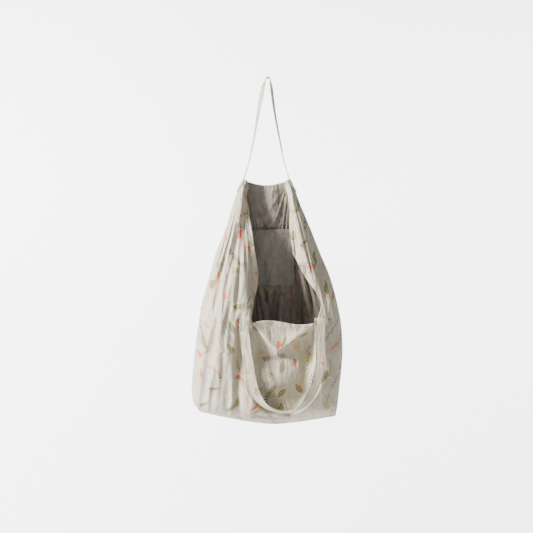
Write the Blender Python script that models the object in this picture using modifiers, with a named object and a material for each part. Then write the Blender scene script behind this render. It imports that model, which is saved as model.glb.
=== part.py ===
"""A large linen bag that hangs from one of its two long handles.

Metres, +Z up, the front towards -Y. The origin is the hang point, under the top bend of the back
handle. The back rim stays up between that handle's ends. The rest of the rim droops in two flaps,
down to the corners where the front handle is sewn on, and the front handle hangs in a U.
"""

import math
from collections import namedtuple

import bmesh
import bpy
from mathutils import Vector
from mathutils.bvhtree import BVHTree

# Body
BODY_WIDTH = 0.444
BODY_HEIGHT = 0.726
BODY_DEPTH = 0.150
CLOTH_WALL = 0.0013
HEM_WALL = 0.0026
HEM_HEIGHT = 0.022
BACK_Y = 0.010
BACK_RIM_SAG = 0.016
FLAP_FALL = 0.020
FLAP_CURL = 0.016
EDGE_ROUND = 0.55
BASE_ROUND = 0.050
BASE_LIFT_LEFT = 0.037
BASE_LIFT_RIGHT = 0.024
BASE_LOWEST = 0.54
BASE_LIFT_FROM = 0.6
BASE_SLOPE = 1.4

# Places and spans along the body, as shares of its height or of a flap's width
HEM_DOWN = 0.585
RIM_SHIFT_SPAN = 0.16
CURL_SPAN_ABOVE_HEM = 0.12
CURL_FROM = 0.55
FALL_FROM = 0.5
PANEL_BLEND = 0.16
FOLD_START = 0.12
FOLD_END = 0.88

# Handles
HANDLE_WIDTH = 0.028
HANDLE_THICKNESS = 0.0022
HANDLE_DROP = 0.306
HOOK_RADIUS = 0.005
SEWN_LENGTH = 0.036
SEWN_BELOW_RIM = 0.003
FRONT_HANDLE_RISE = 0.010
FRONT_HANDLE_BEND = 0.007
FRONT_HANDLE_REST = 0.022

# Inner pocket
POCKET_WIDTH = 0.150
POCKET_HEIGHT = 0.170
POCKET_TOP = 0.148
POCKET_WALL = 0.0012
POCKET_X = 0.004
POCKET_BULGE = 0.006

# Clearances between touching pieces
SEAM_GAP = 0.0007
HANG_GAP = 0.0030

# Colours of the materials
PRINTED_COLOUR = (0.70, 0.66, 0.59)
HANDLE_COLOUR = (0.66, 0.61, 0.53)
PLAIN_COLOUR = (0.60, 0.55, 0.48)
CLOTH_ROUGHNESS = 0.9

# Mesh fineness
EDGE_COLUMNS = 10
EDGE_CLOSENESS = 1.5
FRONT_COLUMNS = 12
UPPER_ROWS = 14
LOWER_ROWS = 12
BASE_STEPS = (0.0, 0.35, 0.62, 0.84, 0.96, 1.0)
HANDLE_COLUMNS = 6
HANDLE_STEP = 0.018
SEWN_ROWS = 6
BEND_STEPS = 6
BEND_OVER_HEM_STEPS = 4
EASE_REACH = 2
POCKET_COLUMNS = 10
POCKET_ROWS = 10

# Levels of the body: down is a share of BODY_HEIGHT below the back rim. The others are shares of
# BODY_WIDTH from the hang line, except depth, a share of BODY_DEPTH. The flap columns give the free
# rim of the mouth, and below the hem the two lines that carry on from its corners.
Level = namedtuple("Level", "down left right flap_left flap_right depth")
LEVELS = (
    Level(0.00, -0.166, 0.146, -0.130, 0.115, 0.27),
    Level(0.05, -0.206, 0.186, -0.142, 0.134, 0.32),
    Level(0.10, -0.236, 0.216, -0.136, 0.139, 0.38),
    Level(0.20, -0.284, 0.284, -0.112, 0.145, 0.50),
    Level(0.30, -0.348, 0.348, -0.085, 0.169, 0.60),
    Level(0.40, -0.395, 0.415, -0.066, 0.245, 0.70),
    Level(0.50, -0.439, 0.460, -0.092, 0.350, 0.78),
    Level(0.585, -0.463, 0.487, -0.110, 0.320, 0.84),
    Level(0.70, -0.486, 0.498, -0.108, 0.315, 0.90),
    Level(0.80, -0.500, 0.488, -0.106, 0.312, 0.96),
    Level(0.90, -0.508, 0.472, -0.106, 0.310, 1.00),
    Level(0.96, -0.497, 0.462, -0.106, 0.310, 0.99),
    Level(1.00, -0.455, 0.450, -0.106, 0.310, 0.97),
)
# Front profile between the flap lines: forward is a share of BODY_DEPTH beyond the plain front.
Profile = namedtuple("Profile", "down forward")
FRONT_PROFILE = (
    Profile(0.585, -0.03),
    Profile(0.615, 0.00),
    Profile(0.655, 0.07),
    Profile(0.690, 0.02),
    Profile(0.730, -0.13),
    Profile(0.780, -0.08),
    Profile(0.880, -0.33),
    Profile(0.915, -0.27),
    Profile(0.945, 0.06),
    Profile(1.000, 0.02),
)

# Folds of the outer face: from and to are (x share of BODY_WIDTH, down share), half_width is a share
# of BODY_WIDTH and height of BODY_DEPTH. A negative height is a valley.
Fold = namedtuple("Fold", "x_from down_from x_to down_to half_width height")
FRONT_FOLDS = (
    Fold(-0.150, 0.07, -0.105, 0.27, 0.035, 0.07),
    Fold(-0.115, 0.22, -0.185, 0.58, 0.045, 0.10),
    Fold(-0.185, 0.04, -0.270, 0.38, 0.035, 0.06),
    Fold(-0.200, 0.20, -0.275, 0.42, 0.030, -0.08),
    Fold(-0.240, 0.34, -0.330, 0.78, 0.045, 0.05),
    Fold(-0.180, 0.56, -0.155, 0.84, 0.025, -0.08),
    Fold(0.165, 0.05, 0.225, 0.27, 0.035, 0.06),
    Fold(0.200, 0.18, 0.330, 0.50, 0.050, 0.07),
    Fold(0.290, 0.16, 0.400, 0.46, 0.045, -0.06),
    Fold(0.390, 0.48, 0.400, 0.80, 0.040, 0.05),
    Fold(-0.100, 0.60, 0.060, 0.70, 0.045, 0.09),
    Fold(0.310, 0.60, 0.070, 0.70, 0.045, 0.08),
    Fold(-0.070, 0.67, -0.050, 0.86, 0.050, -0.10),
    Fold(0.270, 0.67, 0.240, 0.84, 0.050, -0.08),
    Fold(0.080, 0.74, 0.100, 0.86, 0.060, 0.07),
    Fold(0.210, 0.96, 0.350, 0.86, 0.025, 0.06),
)
BACK_FOLDS = (
    Fold(0.020, 0.00, 0.035, 0.20, 0.050, 0.12),
)

# Handle paths: x is a share of BODY_WIDTH from the hang line and turn is the angle in degrees that
# the flat band is turned about its own path.
Leg = namedtuple("Leg", "down x turn")
BACK_LEFT_LEG = (
    Leg(0.07, -0.030, -16.0),
    Leg(0.16, -0.043, -24.0),
    Leg(0.35, -0.068, -16.0),
    Leg(0.60, -0.096, -8.0),
    Leg(0.82, -0.128, -3.0),
)
BACK_RIGHT_LEG = (
    Leg(0.07, 0.021, 12.0),
    Leg(0.16, 0.028, 16.0),
    Leg(0.35, 0.046, 12.0),
    Leg(0.60, 0.078, 8.0),
    Leg(0.82, 0.108, 3.0),
)
Hang = namedtuple("Hang", "x down turn")
FRONT_PATH = (
    Hang(-0.156, 0.620, -10.0),
    Hang(-0.142, 0.694, -4.0),
    Hang(-0.125, 0.752, -2.0),
    Hang(-0.108, 0.814, -6.0),
    Hang(-0.081, 0.864, -22.0),
    Hang(-0.034, 0.905, -52.0),
    Hang(0.027, 0.930, -68.0),
    Hang(0.101, 0.940, -74.0),
    Hang(0.169, 0.934, -66.0),
    Hang(0.230, 0.910, -48.0),
    Hang(0.277, 0.870, -20.0),
    Hang(0.316, 0.816, -12.0),
    Hang(0.336, 0.760, -8.0),
    Hang(0.344, 0.694, -6.0),
    Hang(0.344, 0.620, -10.0),
)
FRONT_SEWN_LEFT = -0.138
FRONT_SEWN_RIGHT = 0.336

FRONT = -1
BACK = 1


def clear_scene():
    for old in list(bpy.data.objects):
        bpy.data.objects.remove(old, do_unlink=True)


def make_material(name, colour):
    material = bpy.data.materials.new(name)
    material.use_nodes = True
    shader = material.node_tree.nodes["Principled BSDF"]
    shader.inputs["Base Color"].default_value = (*colour, 1.0)
    shader.inputs["Roughness"].default_value = CLOTH_ROUGHNESS
    shader.inputs["Metallic"].default_value = 0.0
    return material


def smooth_step(share):
    share = min(max(share, 0.0), 1.0)
    return share * share * (3.0 - 2.0 * share)


def table_value(rows, column, down):
    """A table's column at a place down the body, on a smooth curve through its rows."""
    last = len(rows) - 1
    if down <= rows[0].down:
        return getattr(rows[0], column)
    if down >= rows[last].down:
        return getattr(rows[last], column)
    start = max(i for i in range(last) if rows[i].down <= down)
    places = [rows[min(max(start + i, 0), last)].down for i in (-1, 0, 1, 2)]
    values = [getattr(rows[min(max(start + i, 0), last)], column) for i in (-1, 0, 1, 2)]
    run = places[2] - places[1]
    slope_in = (values[2] - values[0]) / (places[2] - places[0])
    slope_out = (values[3] - values[1]) / (places[3] - places[1])
    share = (down - places[1]) / run
    cubed, squared = share**3, share**2
    return (
        values[1] * (2 * cubed - 3 * squared + 1)
        + values[2] * (3 * squared - 2 * cubed)
        + run * slope_in * (cubed - 2 * squared + share)
        + run * slope_out * (cubed - squared)
    )


def level_at(down):
    values = [table_value(LEVELS, column, down) for column in Level._fields[1:]]
    return Level(down, *values)


def fold_relief(folds, x, down):
    """How far the folds push the cloth out of its plain face at a point."""
    relief = 0.0
    for fold in folds:
        start = Vector((fold.x_from * BODY_WIDTH, fold.down_from * BODY_HEIGHT))
        run = Vector((fold.x_to * BODY_WIDTH, fold.down_to * BODY_HEIGHT)) - start
        here = Vector((x, down * BODY_HEIGHT)) - start
        along = min(max(here.dot(run) / run.length_squared, 0.0), 1.0)
        apart = (here - run * along).length / (fold.half_width * BODY_WIDTH)
        swell = math.sin(math.pi * (FOLD_START + (FOLD_END - FOLD_START) * along))
        relief += fold.height * BODY_DEPTH * math.exp(-apart * apart) * swell
    return relief


def front_profile(x, down, level):
    """The relief of the slack front panel between the two flap lines."""
    left, right = level.flap_left * BODY_WIDTH, level.flap_right * BODY_WIDTH
    margin = PANEL_BLEND * (right - left)
    from_left = smooth_step((x - left + margin) / (2 * margin))
    from_right = smooth_step((right + margin - x) / (2 * margin))
    return table_value(FRONT_PROFILE, "forward", down) * BODY_DEPTH * from_left * from_right


def edge_turn(distance, reach):
    """0 on a side edge of the body, rising along a quarter circle to 1 at reach from it."""
    share = min(max(distance / reach, 0.0), 1.0)
    return math.sqrt(1.0 - (1.0 - share) ** 2)


def base_turn(down):
    """1 down to the rounded base, then falling along a quarter circle to 0 at its seam."""
    start = 1.0 - BASE_ROUND / BODY_HEIGHT
    share = min(max((down - start) / (1.0 - start), 0.0), 1.0)
    return math.sqrt(1.0 - share * share)


def rim_shift(across, flap_share, side):
    """How far the rim hangs below its level, at the very top of the body."""
    if side == BACK:
        return BACK_RIM_SAG * math.sin(math.pi * across)
    return FLAP_FALL * smooth_step((flap_share - FALL_FROM) / (1.0 - FALL_FROM))


def base_lift(across):
    """How far the base seam rises from its lowest place towards a side edge."""
    if across < BASE_LOWEST:
        return BASE_LIFT_LEFT * (1.0 - across / BASE_LOWEST) ** BASE_SLOPE
    return BASE_LIFT_RIGHT * ((across - BASE_LOWEST) / (1.0 - BASE_LOWEST)) ** BASE_SLOPE


def outer_point(across, down, side):
    """A point of the cloth's outer face. across runs from 0 to 1 between the two side edges."""
    level = level_at(down)
    left, right = level.left * BODY_WIDTH, level.right * BODY_WIDTH
    flap_left, flap_right = level.flap_left * BODY_WIDTH, level.flap_right * BODY_WIDTH
    x = left + (right - left) * across
    depth = level.depth * BODY_DEPTH
    middle = BACK_Y - depth / 2
    reach = EDGE_ROUND * depth
    turn = min(edge_turn(x - left, reach), edge_turn(right - x, reach)) * base_turn(down)
    flap_share = min((x - left) / (flap_left - left), (right - x) / (right - flap_right), 1.0)
    if side == FRONT:
        above_hem = smooth_step((HEM_DOWN - down) / CURL_SPAN_ABOVE_HEM)
        curl = FLAP_CURL * above_hem * smooth_step((flap_share - CURL_FROM) / (1.0 - CURL_FROM))
        relief = fold_relief(FRONT_FOLDS, x, down) - curl
        if down >= HEM_DOWN:
            relief += front_profile(x, down, level)
        face = BACK_Y - depth - relief
    else:
        face = BACK_Y - fold_relief(BACK_FOLDS, x, down)
    sag = rim_shift(across, flap_share, side) * (1.0 - smooth_step(down / RIM_SHIFT_SPAN))
    lift = base_lift(across) * smooth_step((down - BASE_LIFT_FROM) / (1.0 - BASE_LIFT_FROM))
    z = lift - sag - HANDLE_DROP - BODY_HEIGHT * down
    return Vector((x, middle + (face - middle) * turn, z))


def column_places(down):
    """The across share of each column of one level, closer together round the side edges."""
    level = level_at(down)
    span = level.right - level.left
    first = (level.flap_left - level.left) / span
    last = (level.flap_right - level.left) / span
    closer = [(i / EDGE_COLUMNS) ** EDGE_CLOSENESS for i in range(EDGE_COLUMNS)]
    left = [first * share for share in closer]
    middle = [first + (last - first) * i / FRONT_COLUMNS for i in range(FRONT_COLUMNS + 1)]
    right = [1.0 - (1.0 - last) * share for share in reversed(closer)]
    return left + middle + right


def row_places():
    """The levels of the mesh's rows, from the rim to the base seam, one at the foot of each hem."""
    hem = HEM_HEIGHT / BODY_HEIGHT
    base_start = 1.0 - BASE_ROUND / BODY_HEIGHT
    upper = [hem + (HEM_DOWN - hem) * i / UPPER_ROWS for i in range(UPPER_ROWS)]
    lower_start = HEM_DOWN + hem
    lower = [lower_start + (base_start - lower_start) * i / LOWER_ROWS for i in range(LOWER_ROWS)]
    base = [base_start + (1.0 - base_start) * step for step in BASE_STEPS]
    return [0.0] + upper + [HEM_DOWN] + lower + base


def body_mesh():
    """The outer face of the sack, open at the mouth, as one grid that wraps round both sides."""
    mesh = bmesh.new()
    fronts, backs = [], []
    for down in row_places():
        places = column_places(down)
        last = len(places) - 1
        back = [mesh.verts.new(outer_point(place, down, BACK)) for place in places]
        front = [back[0]]
        for column, place in enumerate(places[1:last], 1):
            in_mouth = EDGE_COLUMNS < column < EDGE_COLUMNS + FRONT_COLUMNS
            if down == 1.0:
                front.append(back[column])
            elif in_mouth and down < HEM_DOWN:
                front.append(None)
            else:
                front.append(mesh.verts.new(outer_point(place, down, FRONT)))
        front.append(back[last])
        fronts.append(front)
        backs.append(back)
    for upper, lower in zip(fronts, fronts[1:]):
        add_strip(mesh, upper, lower)
    for upper, lower in zip(backs, backs[1:]):
        add_strip(mesh, lower, upper)
    return mesh


def add_strip(mesh, upper, lower):
    """A row of faces between two rows of vertices, left out where the mouth is open."""
    for column in range(len(upper) - 1):
        corners = [upper[column], lower[column], lower[column + 1], upper[column + 1]]
        if None in corners:
            continue
        mesh.faces.new(list(dict.fromkeys(corners)))


def add_object(name, mesh, material, collection):
    """An object of its own in the collection, with the mesh and the material."""
    data = bpy.data.meshes.new(name)
    mesh.to_mesh(data)
    mesh.free()
    data.materials.append(material)
    data.shade_smooth()
    obj = bpy.data.objects.new(name, data)
    collection.objects.link(obj)
    return obj


def add_wall(obj, thickness, offset):
    wall = obj.modifiers.new("Wall", "SOLIDIFY")
    wall.thickness = thickness
    wall.offset = offset
    wall.use_even_offset = False
    return wall


def build_body(collection):
    """The sack, with a thicker hem round the whole mouth."""
    mesh = body_mesh()
    hem = {vert.index for vert in mesh_rim(mesh)}
    body = add_object("bag_body", mesh, make_material("printed_linen", PRINTED_COLOUR), collection)
    group = body.vertex_groups.new(name="hem")
    group.add(sorted(hem), 1.0, "REPLACE")
    wall = add_wall(body, HEM_WALL, -1.0)
    wall.vertex_group = "hem"
    wall.thickness_vertex_group = CLOTH_WALL / HEM_WALL
    return body


def mesh_rim(mesh):
    """The vertices on the free rim of the mouth."""
    mesh.verts.index_update()
    return [vert for vert in mesh.verts if vert.is_boundary]


def solid_tree(obj):
    """A search tree of an object's finished shape."""
    return BVHTree.FromObject(obj, bpy.context.evaluated_depsgraph_get())


def seat(tree, start, direction, distance):
    """The point at a distance before the first face that a ray meets, and that face's normal."""
    hit, normal, _, _ = tree.ray_cast(start, direction)
    if hit is None:
        return None
    if normal.dot(direction) > 0:
        normal = -normal
    return hit + normal * distance


def grid_mesh(rows):
    """A grid of faces through rows of points."""
    mesh = bmesh.new()
    made = [[mesh.verts.new(point) for point in row] for row in rows]
    for upper, lower in zip(made, made[1:]):
        for column in range(len(upper) - 1):
            mesh.faces.new([upper[column], lower[column], lower[column + 1], upper[column + 1]])
    return mesh


def smooth_path(points, step):
    """Points about a step apart, on a smooth curve through a few chosen ones."""
    last = len(points) - 1
    path = []
    for i in range(last):
        before, start, end, after = (points[min(max(i + k, 0), last)] for k in (-1, 0, 1, 2))
        count = max(1, round((end - start).xyz.length / step))
        for j in range(count):
            share = j / count
            path.append(
                0.5
                * (
                    2 * start
                    + (end - before) * share
                    + (2 * before - 5 * start + 4 * end - after) * share**2
                    + (3 * start - before - 3 * end + after) * share**3
                )
            )
    path.append(points[last])
    return path


def width_steps():
    """The distances of a row's points from the middle of the band."""
    return [HANDLE_WIDTH * (i / HANDLE_COLUMNS - 0.5) for i in range(HANDLE_COLUMNS + 1)]


def add_band(name, rows, collection):
    """A handle: a flat band of one thickness through its rows."""
    band = add_object(name, grid_mesh(rows), make_material(f"{name}_linen", HANDLE_COLOUR), collection)
    add_wall(band, HANDLE_THICKNESS, 0.0)


def back_sewn_rows(tree, side):
    """Rows of the back handle's sewn end, wrapped round one side edge of the rim, bottom first."""
    rows = []
    distance = SEAM_GAP + HANDLE_THICKNESS / 2
    for step in range(SEWN_ROWS + 1):
        down = (SEWN_LENGTH * (1.0 - step / SEWN_ROWS) + SEWN_BELOW_RIM) / BODY_HEIGHT
        middle = BACK_Y - level_at(down).depth * BODY_DEPTH / 2
        z = -HANDLE_DROP - BODY_HEIGHT * down
        starts = [Vector((side * BODY_WIDTH, middle + w, z)) for w in width_steps()]
        rows.append([seat(tree, start, Vector((-side, 0, 0)), distance) for start in starts])
    return rows


def row_middle(row):
    return sum(row, Vector()) / len(row)


def leg_row(centre, turn):
    """A row across a leg of the back handle, whose width runs from front to back, turned a little."""
    angle = math.radians(turn)
    across = Vector((math.sin(angle), math.cos(angle), 0.0))
    return [centre + across * w for w in width_steps()]


def leg_controls(legs):
    """The chosen points of one leg, with the band's turn as a fourth value."""
    return [Vector((leg.x * BODY_WIDTH, 0.0, -leg.down * HANDLE_DROP, leg.turn)) for leg in legs]


def build_back_handle(collection, tree):
    """The handle that the bag hangs from, from its left sewn end over the hang point to its right."""
    left = back_sewn_rows(tree, -1)
    right = back_sewn_rows(tree, 1)
    radius = HOOK_RADIUS + HANDLE_THICKNESS / 2
    bend = []
    for step in range(BEND_STEPS + 1):
        angle = math.pi * (1.0 - step / BEND_STEPS)
        height = radius * math.sin(angle) - HOOK_RADIUS
        bend.append(Vector((radius * math.cos(angle), 0.0, height, 0.0)))
    ends = [row_middle(left[-1]).to_4d(), row_middle(right[-1]).to_4d()]
    for end in ends:
        end.w = 0.0
    left_controls = leg_controls(reversed(BACK_LEFT_LEG))
    left_path = smooth_path([ends[0]] + left_controls + bend[:1], HANDLE_STEP)
    right_path = smooth_path(bend[-1:] + leg_controls(BACK_RIGHT_LEG) + [ends[1]], HANDLE_STEP)
    path = left_path[1:-1] + bend + right_path[1:-1]
    rows = left + [leg_row(point.xyz, point.w) for point in path] + right[::-1]
    add_band("back_handle", rows, collection)


def front_face(tree, x, down):
    """The y of the body's outer front face at a place, or None beside it."""
    z = -HANDLE_DROP - BODY_HEIGHT * down
    seen = seat(tree, Vector((x, -BODY_WIDTH, z)), Vector((0, 1, 0)), 0.0)
    return None if seen is None else seen.y


def front_sewn_rows(tree, x_share, direction):
    """Rows of the front handle's sewn end, flat on the front panel under the hem, bottom first."""
    rows = []
    for step in range(SEWN_ROWS + 1):
        down = HEM_DOWN + (SEWN_LENGTH * (1.0 - step / SEWN_ROWS) + SEWN_BELOW_RIM) / BODY_HEIGHT
        row, face = hanging_row(tree, x_share * BODY_WIDTH, down, direction, 0.0)
        forward = Vector((0.0, face - SEAM_GAP - HANDLE_THICKNESS / 2, 0.0))
        rows.append([point + forward for point in row])
    return rows


def bend_rows(sewn_row, sideways):
    """Rows over the hem: up from the sewn end, forward and down again."""
    rows = []
    for step in range(BEND_OVER_HEM_STEPS + 1):
        share = step / BEND_OVER_HEM_STEPS
        forward = FRONT_HANDLE_BEND * (math.cos(math.pi * share) - 1.0)
        rise = FRONT_HANDLE_RISE + FRONT_HANDLE_BEND * math.sin(math.pi * share)
        move = Vector((sideways * share, forward, rise))
        rows.append([point + move for point in sewn_row])
    return rows


def hanging_row(tree, centre_x, down, direction, turn):
    """A flat row across the front handle at y = 0, and the y that brings it up to the cloth."""
    angle = math.radians(turn)
    along = direction.normalized()
    flat = Vector((-along.z, 0.0, along.x))
    across = flat * math.cos(angle) + Vector((0.0, math.sin(angle), 0.0))
    centre = Vector((centre_x, 0.0, -HANDLE_DROP - BODY_HEIGHT * down))
    limits = []
    half_step = along * (HANDLE_STEP / 2)
    lower = Vector((0.0, 0.0, -FRONT_HANDLE_REST))
    for i in range(2 * HANDLE_COLUMNS + 1):
        offset = across * (HANDLE_WIDTH * (i / HANDLE_COLUMNS / 2 - 0.5))
        for beside in (-half_step, Vector(), half_step, lower):
            point = centre + offset + beside
            face = front_face(tree, point.x, (-HANDLE_DROP - point.z) / BODY_HEIGHT)
            if face is not None:
                limits.append(face - offset.y)
    return [centre + across * w for w in width_steps()], min(limits)


def eased(values, reach):
    """The values smoothed along their order, each no higher than the lowest within reach of it."""
    last = len(values) - 1
    lowest = [min(values[max(i - reach, 0) : i + reach + 1]) for i in range(last + 1)]
    around = [lowest[max(i - reach, 0) : i + reach + 1] for i in range(last + 1)]
    return [sum(part) / len(part) for part in around]


def build_front_handle(collection, tree):
    """The other handle, which falls over the front hem and hangs in a U on the front panel."""
    left = front_sewn_rows(tree, FRONT_SEWN_LEFT, Vector((0, 0, -1)))
    right = front_sewn_rows(tree, FRONT_SEWN_RIGHT, Vector((0, 0, 1)))
    controls = []
    for hang in FRONT_PATH:
        place = (hang.x * BODY_WIDTH, 0.0, -HANDLE_DROP - BODY_HEIGHT * hang.down, hang.turn)
        controls.append(Vector(place))
    path = smooth_path(controls, HANDLE_STEP)
    hanging, faces = [], []
    for i, centre in enumerate(path):
        direction = (path[min(i + 1, len(path) - 1)] - path[max(i - 1, 0)]).xyz
        down = (-HANDLE_DROP - centre.z) / BODY_HEIGHT
        row, face = hanging_row(tree, centre.x, down, direction, centre.w)
        hanging.append(row)
        faces.append(face - HANG_GAP - HANDLE_THICKNESS / 2)
    moved = []
    for row, y in zip(hanging, eased(faces, EASE_REACH)):
        moved.append([point + Vector((0.0, y, 0.0)) for point in row])
    left_bend = bend_rows(left[-1], controls[0].x - FRONT_SEWN_LEFT * BODY_WIDTH)
    right_bend = bend_rows(right[-1], controls[-1].x - FRONT_SEWN_RIGHT * BODY_WIDTH)
    add_band("front_handle", left + left_bend + moved + (right + right_bend)[::-1], collection)


def build_pocket(collection, tree):
    """The plain patch pocket inside the back panel, sewn at its sides and foot and open at its top."""
    rows = []
    for row in range(POCKET_ROWS + 1):
        drop = row / POCKET_ROWS
        z = -HANDLE_DROP - POCKET_TOP - POCKET_HEIGHT * drop
        level = level_at((-HANDLE_DROP - z) / BODY_HEIGHT)
        inside_y = BACK_Y - level.depth * BODY_DEPTH / 2
        points = []
        for column in range(POCKET_COLUMNS + 1):
            share = column / POCKET_COLUMNS
            x = POCKET_WIDTH * (share - 0.5) + POCKET_X
            bulge = POCKET_BULGE * math.sin(math.pi * share) * (1.0 - drop) ** 2
            start = Vector((x, inside_y, z))
            point = seat(tree, start, Vector((0, 1, 0)), SEAM_GAP + POCKET_WALL / 2)
            points.append(point - Vector((0, bulge, 0)))
        rows.append(points)
    material = make_material("plain_linen", PLAIN_COLOUR)
    pocket = add_object("inner_pocket", grid_mesh(rows), material, collection)
    add_wall(pocket, POCKET_WALL, 0.0)


def main():
    clear_scene()
    collection = bpy.data.collections.new("linen_bag")
    bpy.context.scene.collection.children.link(collection)
    body = build_body(collection)
    bpy.context.view_layer.update()
    tree = solid_tree(body)
    build_back_handle(collection, tree)
    build_front_handle(collection, tree)
    build_pocket(collection, tree)


main()
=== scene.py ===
"""A large linen bag that hangs from one of its two long handles, with its print, folds and stitching.

Metres, +Z up, the front towards -Y. The origin is the hang point, under the top bend of the back
handle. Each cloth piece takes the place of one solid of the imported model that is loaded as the
frame, and the stitches lie on the cloth.
"""

import itertools
import math
from collections import namedtuple
from functools import lru_cache

import bmesh
import bpy
import numpy as np
from bpy.props import FloatProperty, IntProperty, PointerProperty
from mathutils import Matrix, Vector, noise
from mathutils.bvhtree import BVHTree
from mathutils.kdtree import KDTree


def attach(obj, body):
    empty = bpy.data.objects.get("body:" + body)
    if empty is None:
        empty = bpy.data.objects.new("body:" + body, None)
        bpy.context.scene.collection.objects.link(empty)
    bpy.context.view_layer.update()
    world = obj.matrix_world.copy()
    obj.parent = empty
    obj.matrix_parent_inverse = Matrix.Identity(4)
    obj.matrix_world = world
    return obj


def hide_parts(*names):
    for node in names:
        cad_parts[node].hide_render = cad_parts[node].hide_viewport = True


bl_info = {
    "name": "Linen Bag",
    "version": (1, 0, 0),
    "blender": (4, 5, 0),
    "location": "View3D > Sidebar > Linen Bag",
    "description": "Builds a hanging printed linen bag with its handles, pocket and stitching",
    "category": "Add Mesh",
}

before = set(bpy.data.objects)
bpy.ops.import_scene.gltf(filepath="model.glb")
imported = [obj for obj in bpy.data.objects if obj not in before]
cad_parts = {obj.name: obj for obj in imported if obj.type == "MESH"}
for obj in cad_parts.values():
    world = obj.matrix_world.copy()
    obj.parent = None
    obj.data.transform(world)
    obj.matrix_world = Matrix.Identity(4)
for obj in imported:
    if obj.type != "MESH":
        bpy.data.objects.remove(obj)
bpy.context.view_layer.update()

# Body, in metres
BODY_WIDTH = 0.444
BODY_HEIGHT = 0.726
BODY_DEPTH = 0.150
HEM_HEIGHT = 0.022
HEM_EDGE = 0.004
BACK_Y = 0.010
BACK_RIM_SAG = 0.016
FLAP_FALL = 0.020
FLAP_CURL_LEFT = 0.016
FLAP_CURL_RIGHT = 0.006
BASE_ROUND = 0.050
BASE_LIFT_LEFT = 0.037
BASE_LIFT_RIGHT = 0.024

# Places and spans on the body, as shares of its height, width or depth or of a flap's width, and
# the power that the base seam's rise follows
EDGE_ROUND = 0.55
BASE_LOWEST = 0.54
BASE_LIFT_FROM = 0.6
BASE_SLOPE = 1.4
HEM_DOWN = 0.585
RIM_SHIFT_SPAN = 0.16
CURL_SPAN_ABOVE_HEM = 0.12
CURL_FROM = 0.55
FALL_FROM = 0.5
PANEL_BLEND = 0.05
PANEL_CALM = 0.80
PANEL_CALM_SPAN = 0.06
RIGHT_FLAP_CALM = 0.40
FOLD_START = 0.12
FOLD_END = 0.88

# Handles, in metres
HANDLE_DROP = 0.306
HOOK_RADIUS = 0.005
SEWN_LENGTH = 0.036
SEWN_BELOW_RIM = 0.003
SEWN_JUMP = 0.008
FRONT_HANDLE_RISE = 0.010
FRONT_HANDLE_BEND = 0.007
FRONT_HANDLE_REST = 0.022

# Clearances between touching pieces
SEAM_GAP = 0.0007
HANG_GAP = 0.0030

# Share of the thread's width by which the middle of a stitch lies above the cloth
THREAD_LIFT = 0.25

# Runs of the hem's stitches: how far from a corner of the rim each starts and stops, as shares of
# BODY_HEIGHT or of the rim's width, and how many rays find it
FLAP_RUN_FROM = 0.02
FLAP_RUN_SHORT = 0.004
FLAP_RUN_RAYS = 150
PANEL_RUN_RAYS = 80
BACK_RUN_FROM = 0.16
BACK_RUN_RAYS = 60

# Mesh fineness
EDGE_COLUMNS = 44
EDGE_CLOSENESS = 1.5
FRONT_COLUMNS = 64
UPPER_ROWS = 84
LOWER_ROWS = 48
BASE_ROWS = 12
HANDLE_COLUMNS = 12
HANDLE_STEP = 0.006
HANDLE_EASE = 6
SEWN_ROWS = 12
SEWN_EASE = 2
POCKET_CELLS = 40
POCKET_REACH = 2
WELD_DISTANCE = 0.00005
HOOK_BEND_STEP = 15
HEM_BEND_STEP = 20
BAND_EDGE_SEGMENTS = 2
BAND_EDGE_ANGLE = 50.0

# Levels of the body: down is a share of BODY_HEIGHT below the back rim. The others are shares of
# BODY_WIDTH from the hang line, except depth, a share of BODY_DEPTH. The flap columns give the free
# rim of the mouth, and below the hem two lines that place the columns of points.
Level = namedtuple("Level", "down left right flap_left flap_right depth")
LEVELS = (
    Level(0.00, -0.166, 0.146, -0.130, 0.115, 0.27),
    Level(0.05, -0.206, 0.186, -0.142, 0.134, 0.32),
    Level(0.10, -0.236, 0.216, -0.136, 0.139, 0.38),
    Level(0.20, -0.284, 0.284, -0.112, 0.145, 0.50),
    Level(0.30, -0.348, 0.348, -0.085, 0.169, 0.60),
    Level(0.40, -0.395, 0.415, -0.066, 0.245, 0.70),
    Level(0.50, -0.439, 0.460, -0.092, 0.350, 0.78),
    Level(0.585, -0.463, 0.487, -0.110, 0.320, 0.84),
    Level(0.70, -0.486, 0.498, -0.108, 0.315, 0.90),
    Level(0.80, -0.500, 0.488, -0.106, 0.312, 0.96),
    Level(0.90, -0.508, 0.472, -0.106, 0.310, 1.00),
    Level(0.96, -0.497, 0.462, -0.106, 0.310, 0.99),
    Level(1.00, -0.455, 0.450, -0.106, 0.310, 0.97),
)
# The front panel below the hem: forward is a share of BODY_DEPTH beyond the plain front.
Profile = namedtuple("Profile", "down forward")
FRONT_PROFILE = (
    Profile(0.585, 0.0),
    Profile(0.612, -0.14),
    Profile(0.650, -0.18),
    Profile(0.690, -0.20),
    Profile(0.730, -0.20),
    Profile(0.780, -0.15),
    Profile(0.830, -0.19),
    Profile(0.880, -0.34),
    Profile(0.915, -0.40),
    Profile(0.940, -0.30),
    Profile(0.955, -0.10),
    Profile(0.968, 0.02),
    Profile(1.000, 0.02),
)
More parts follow.
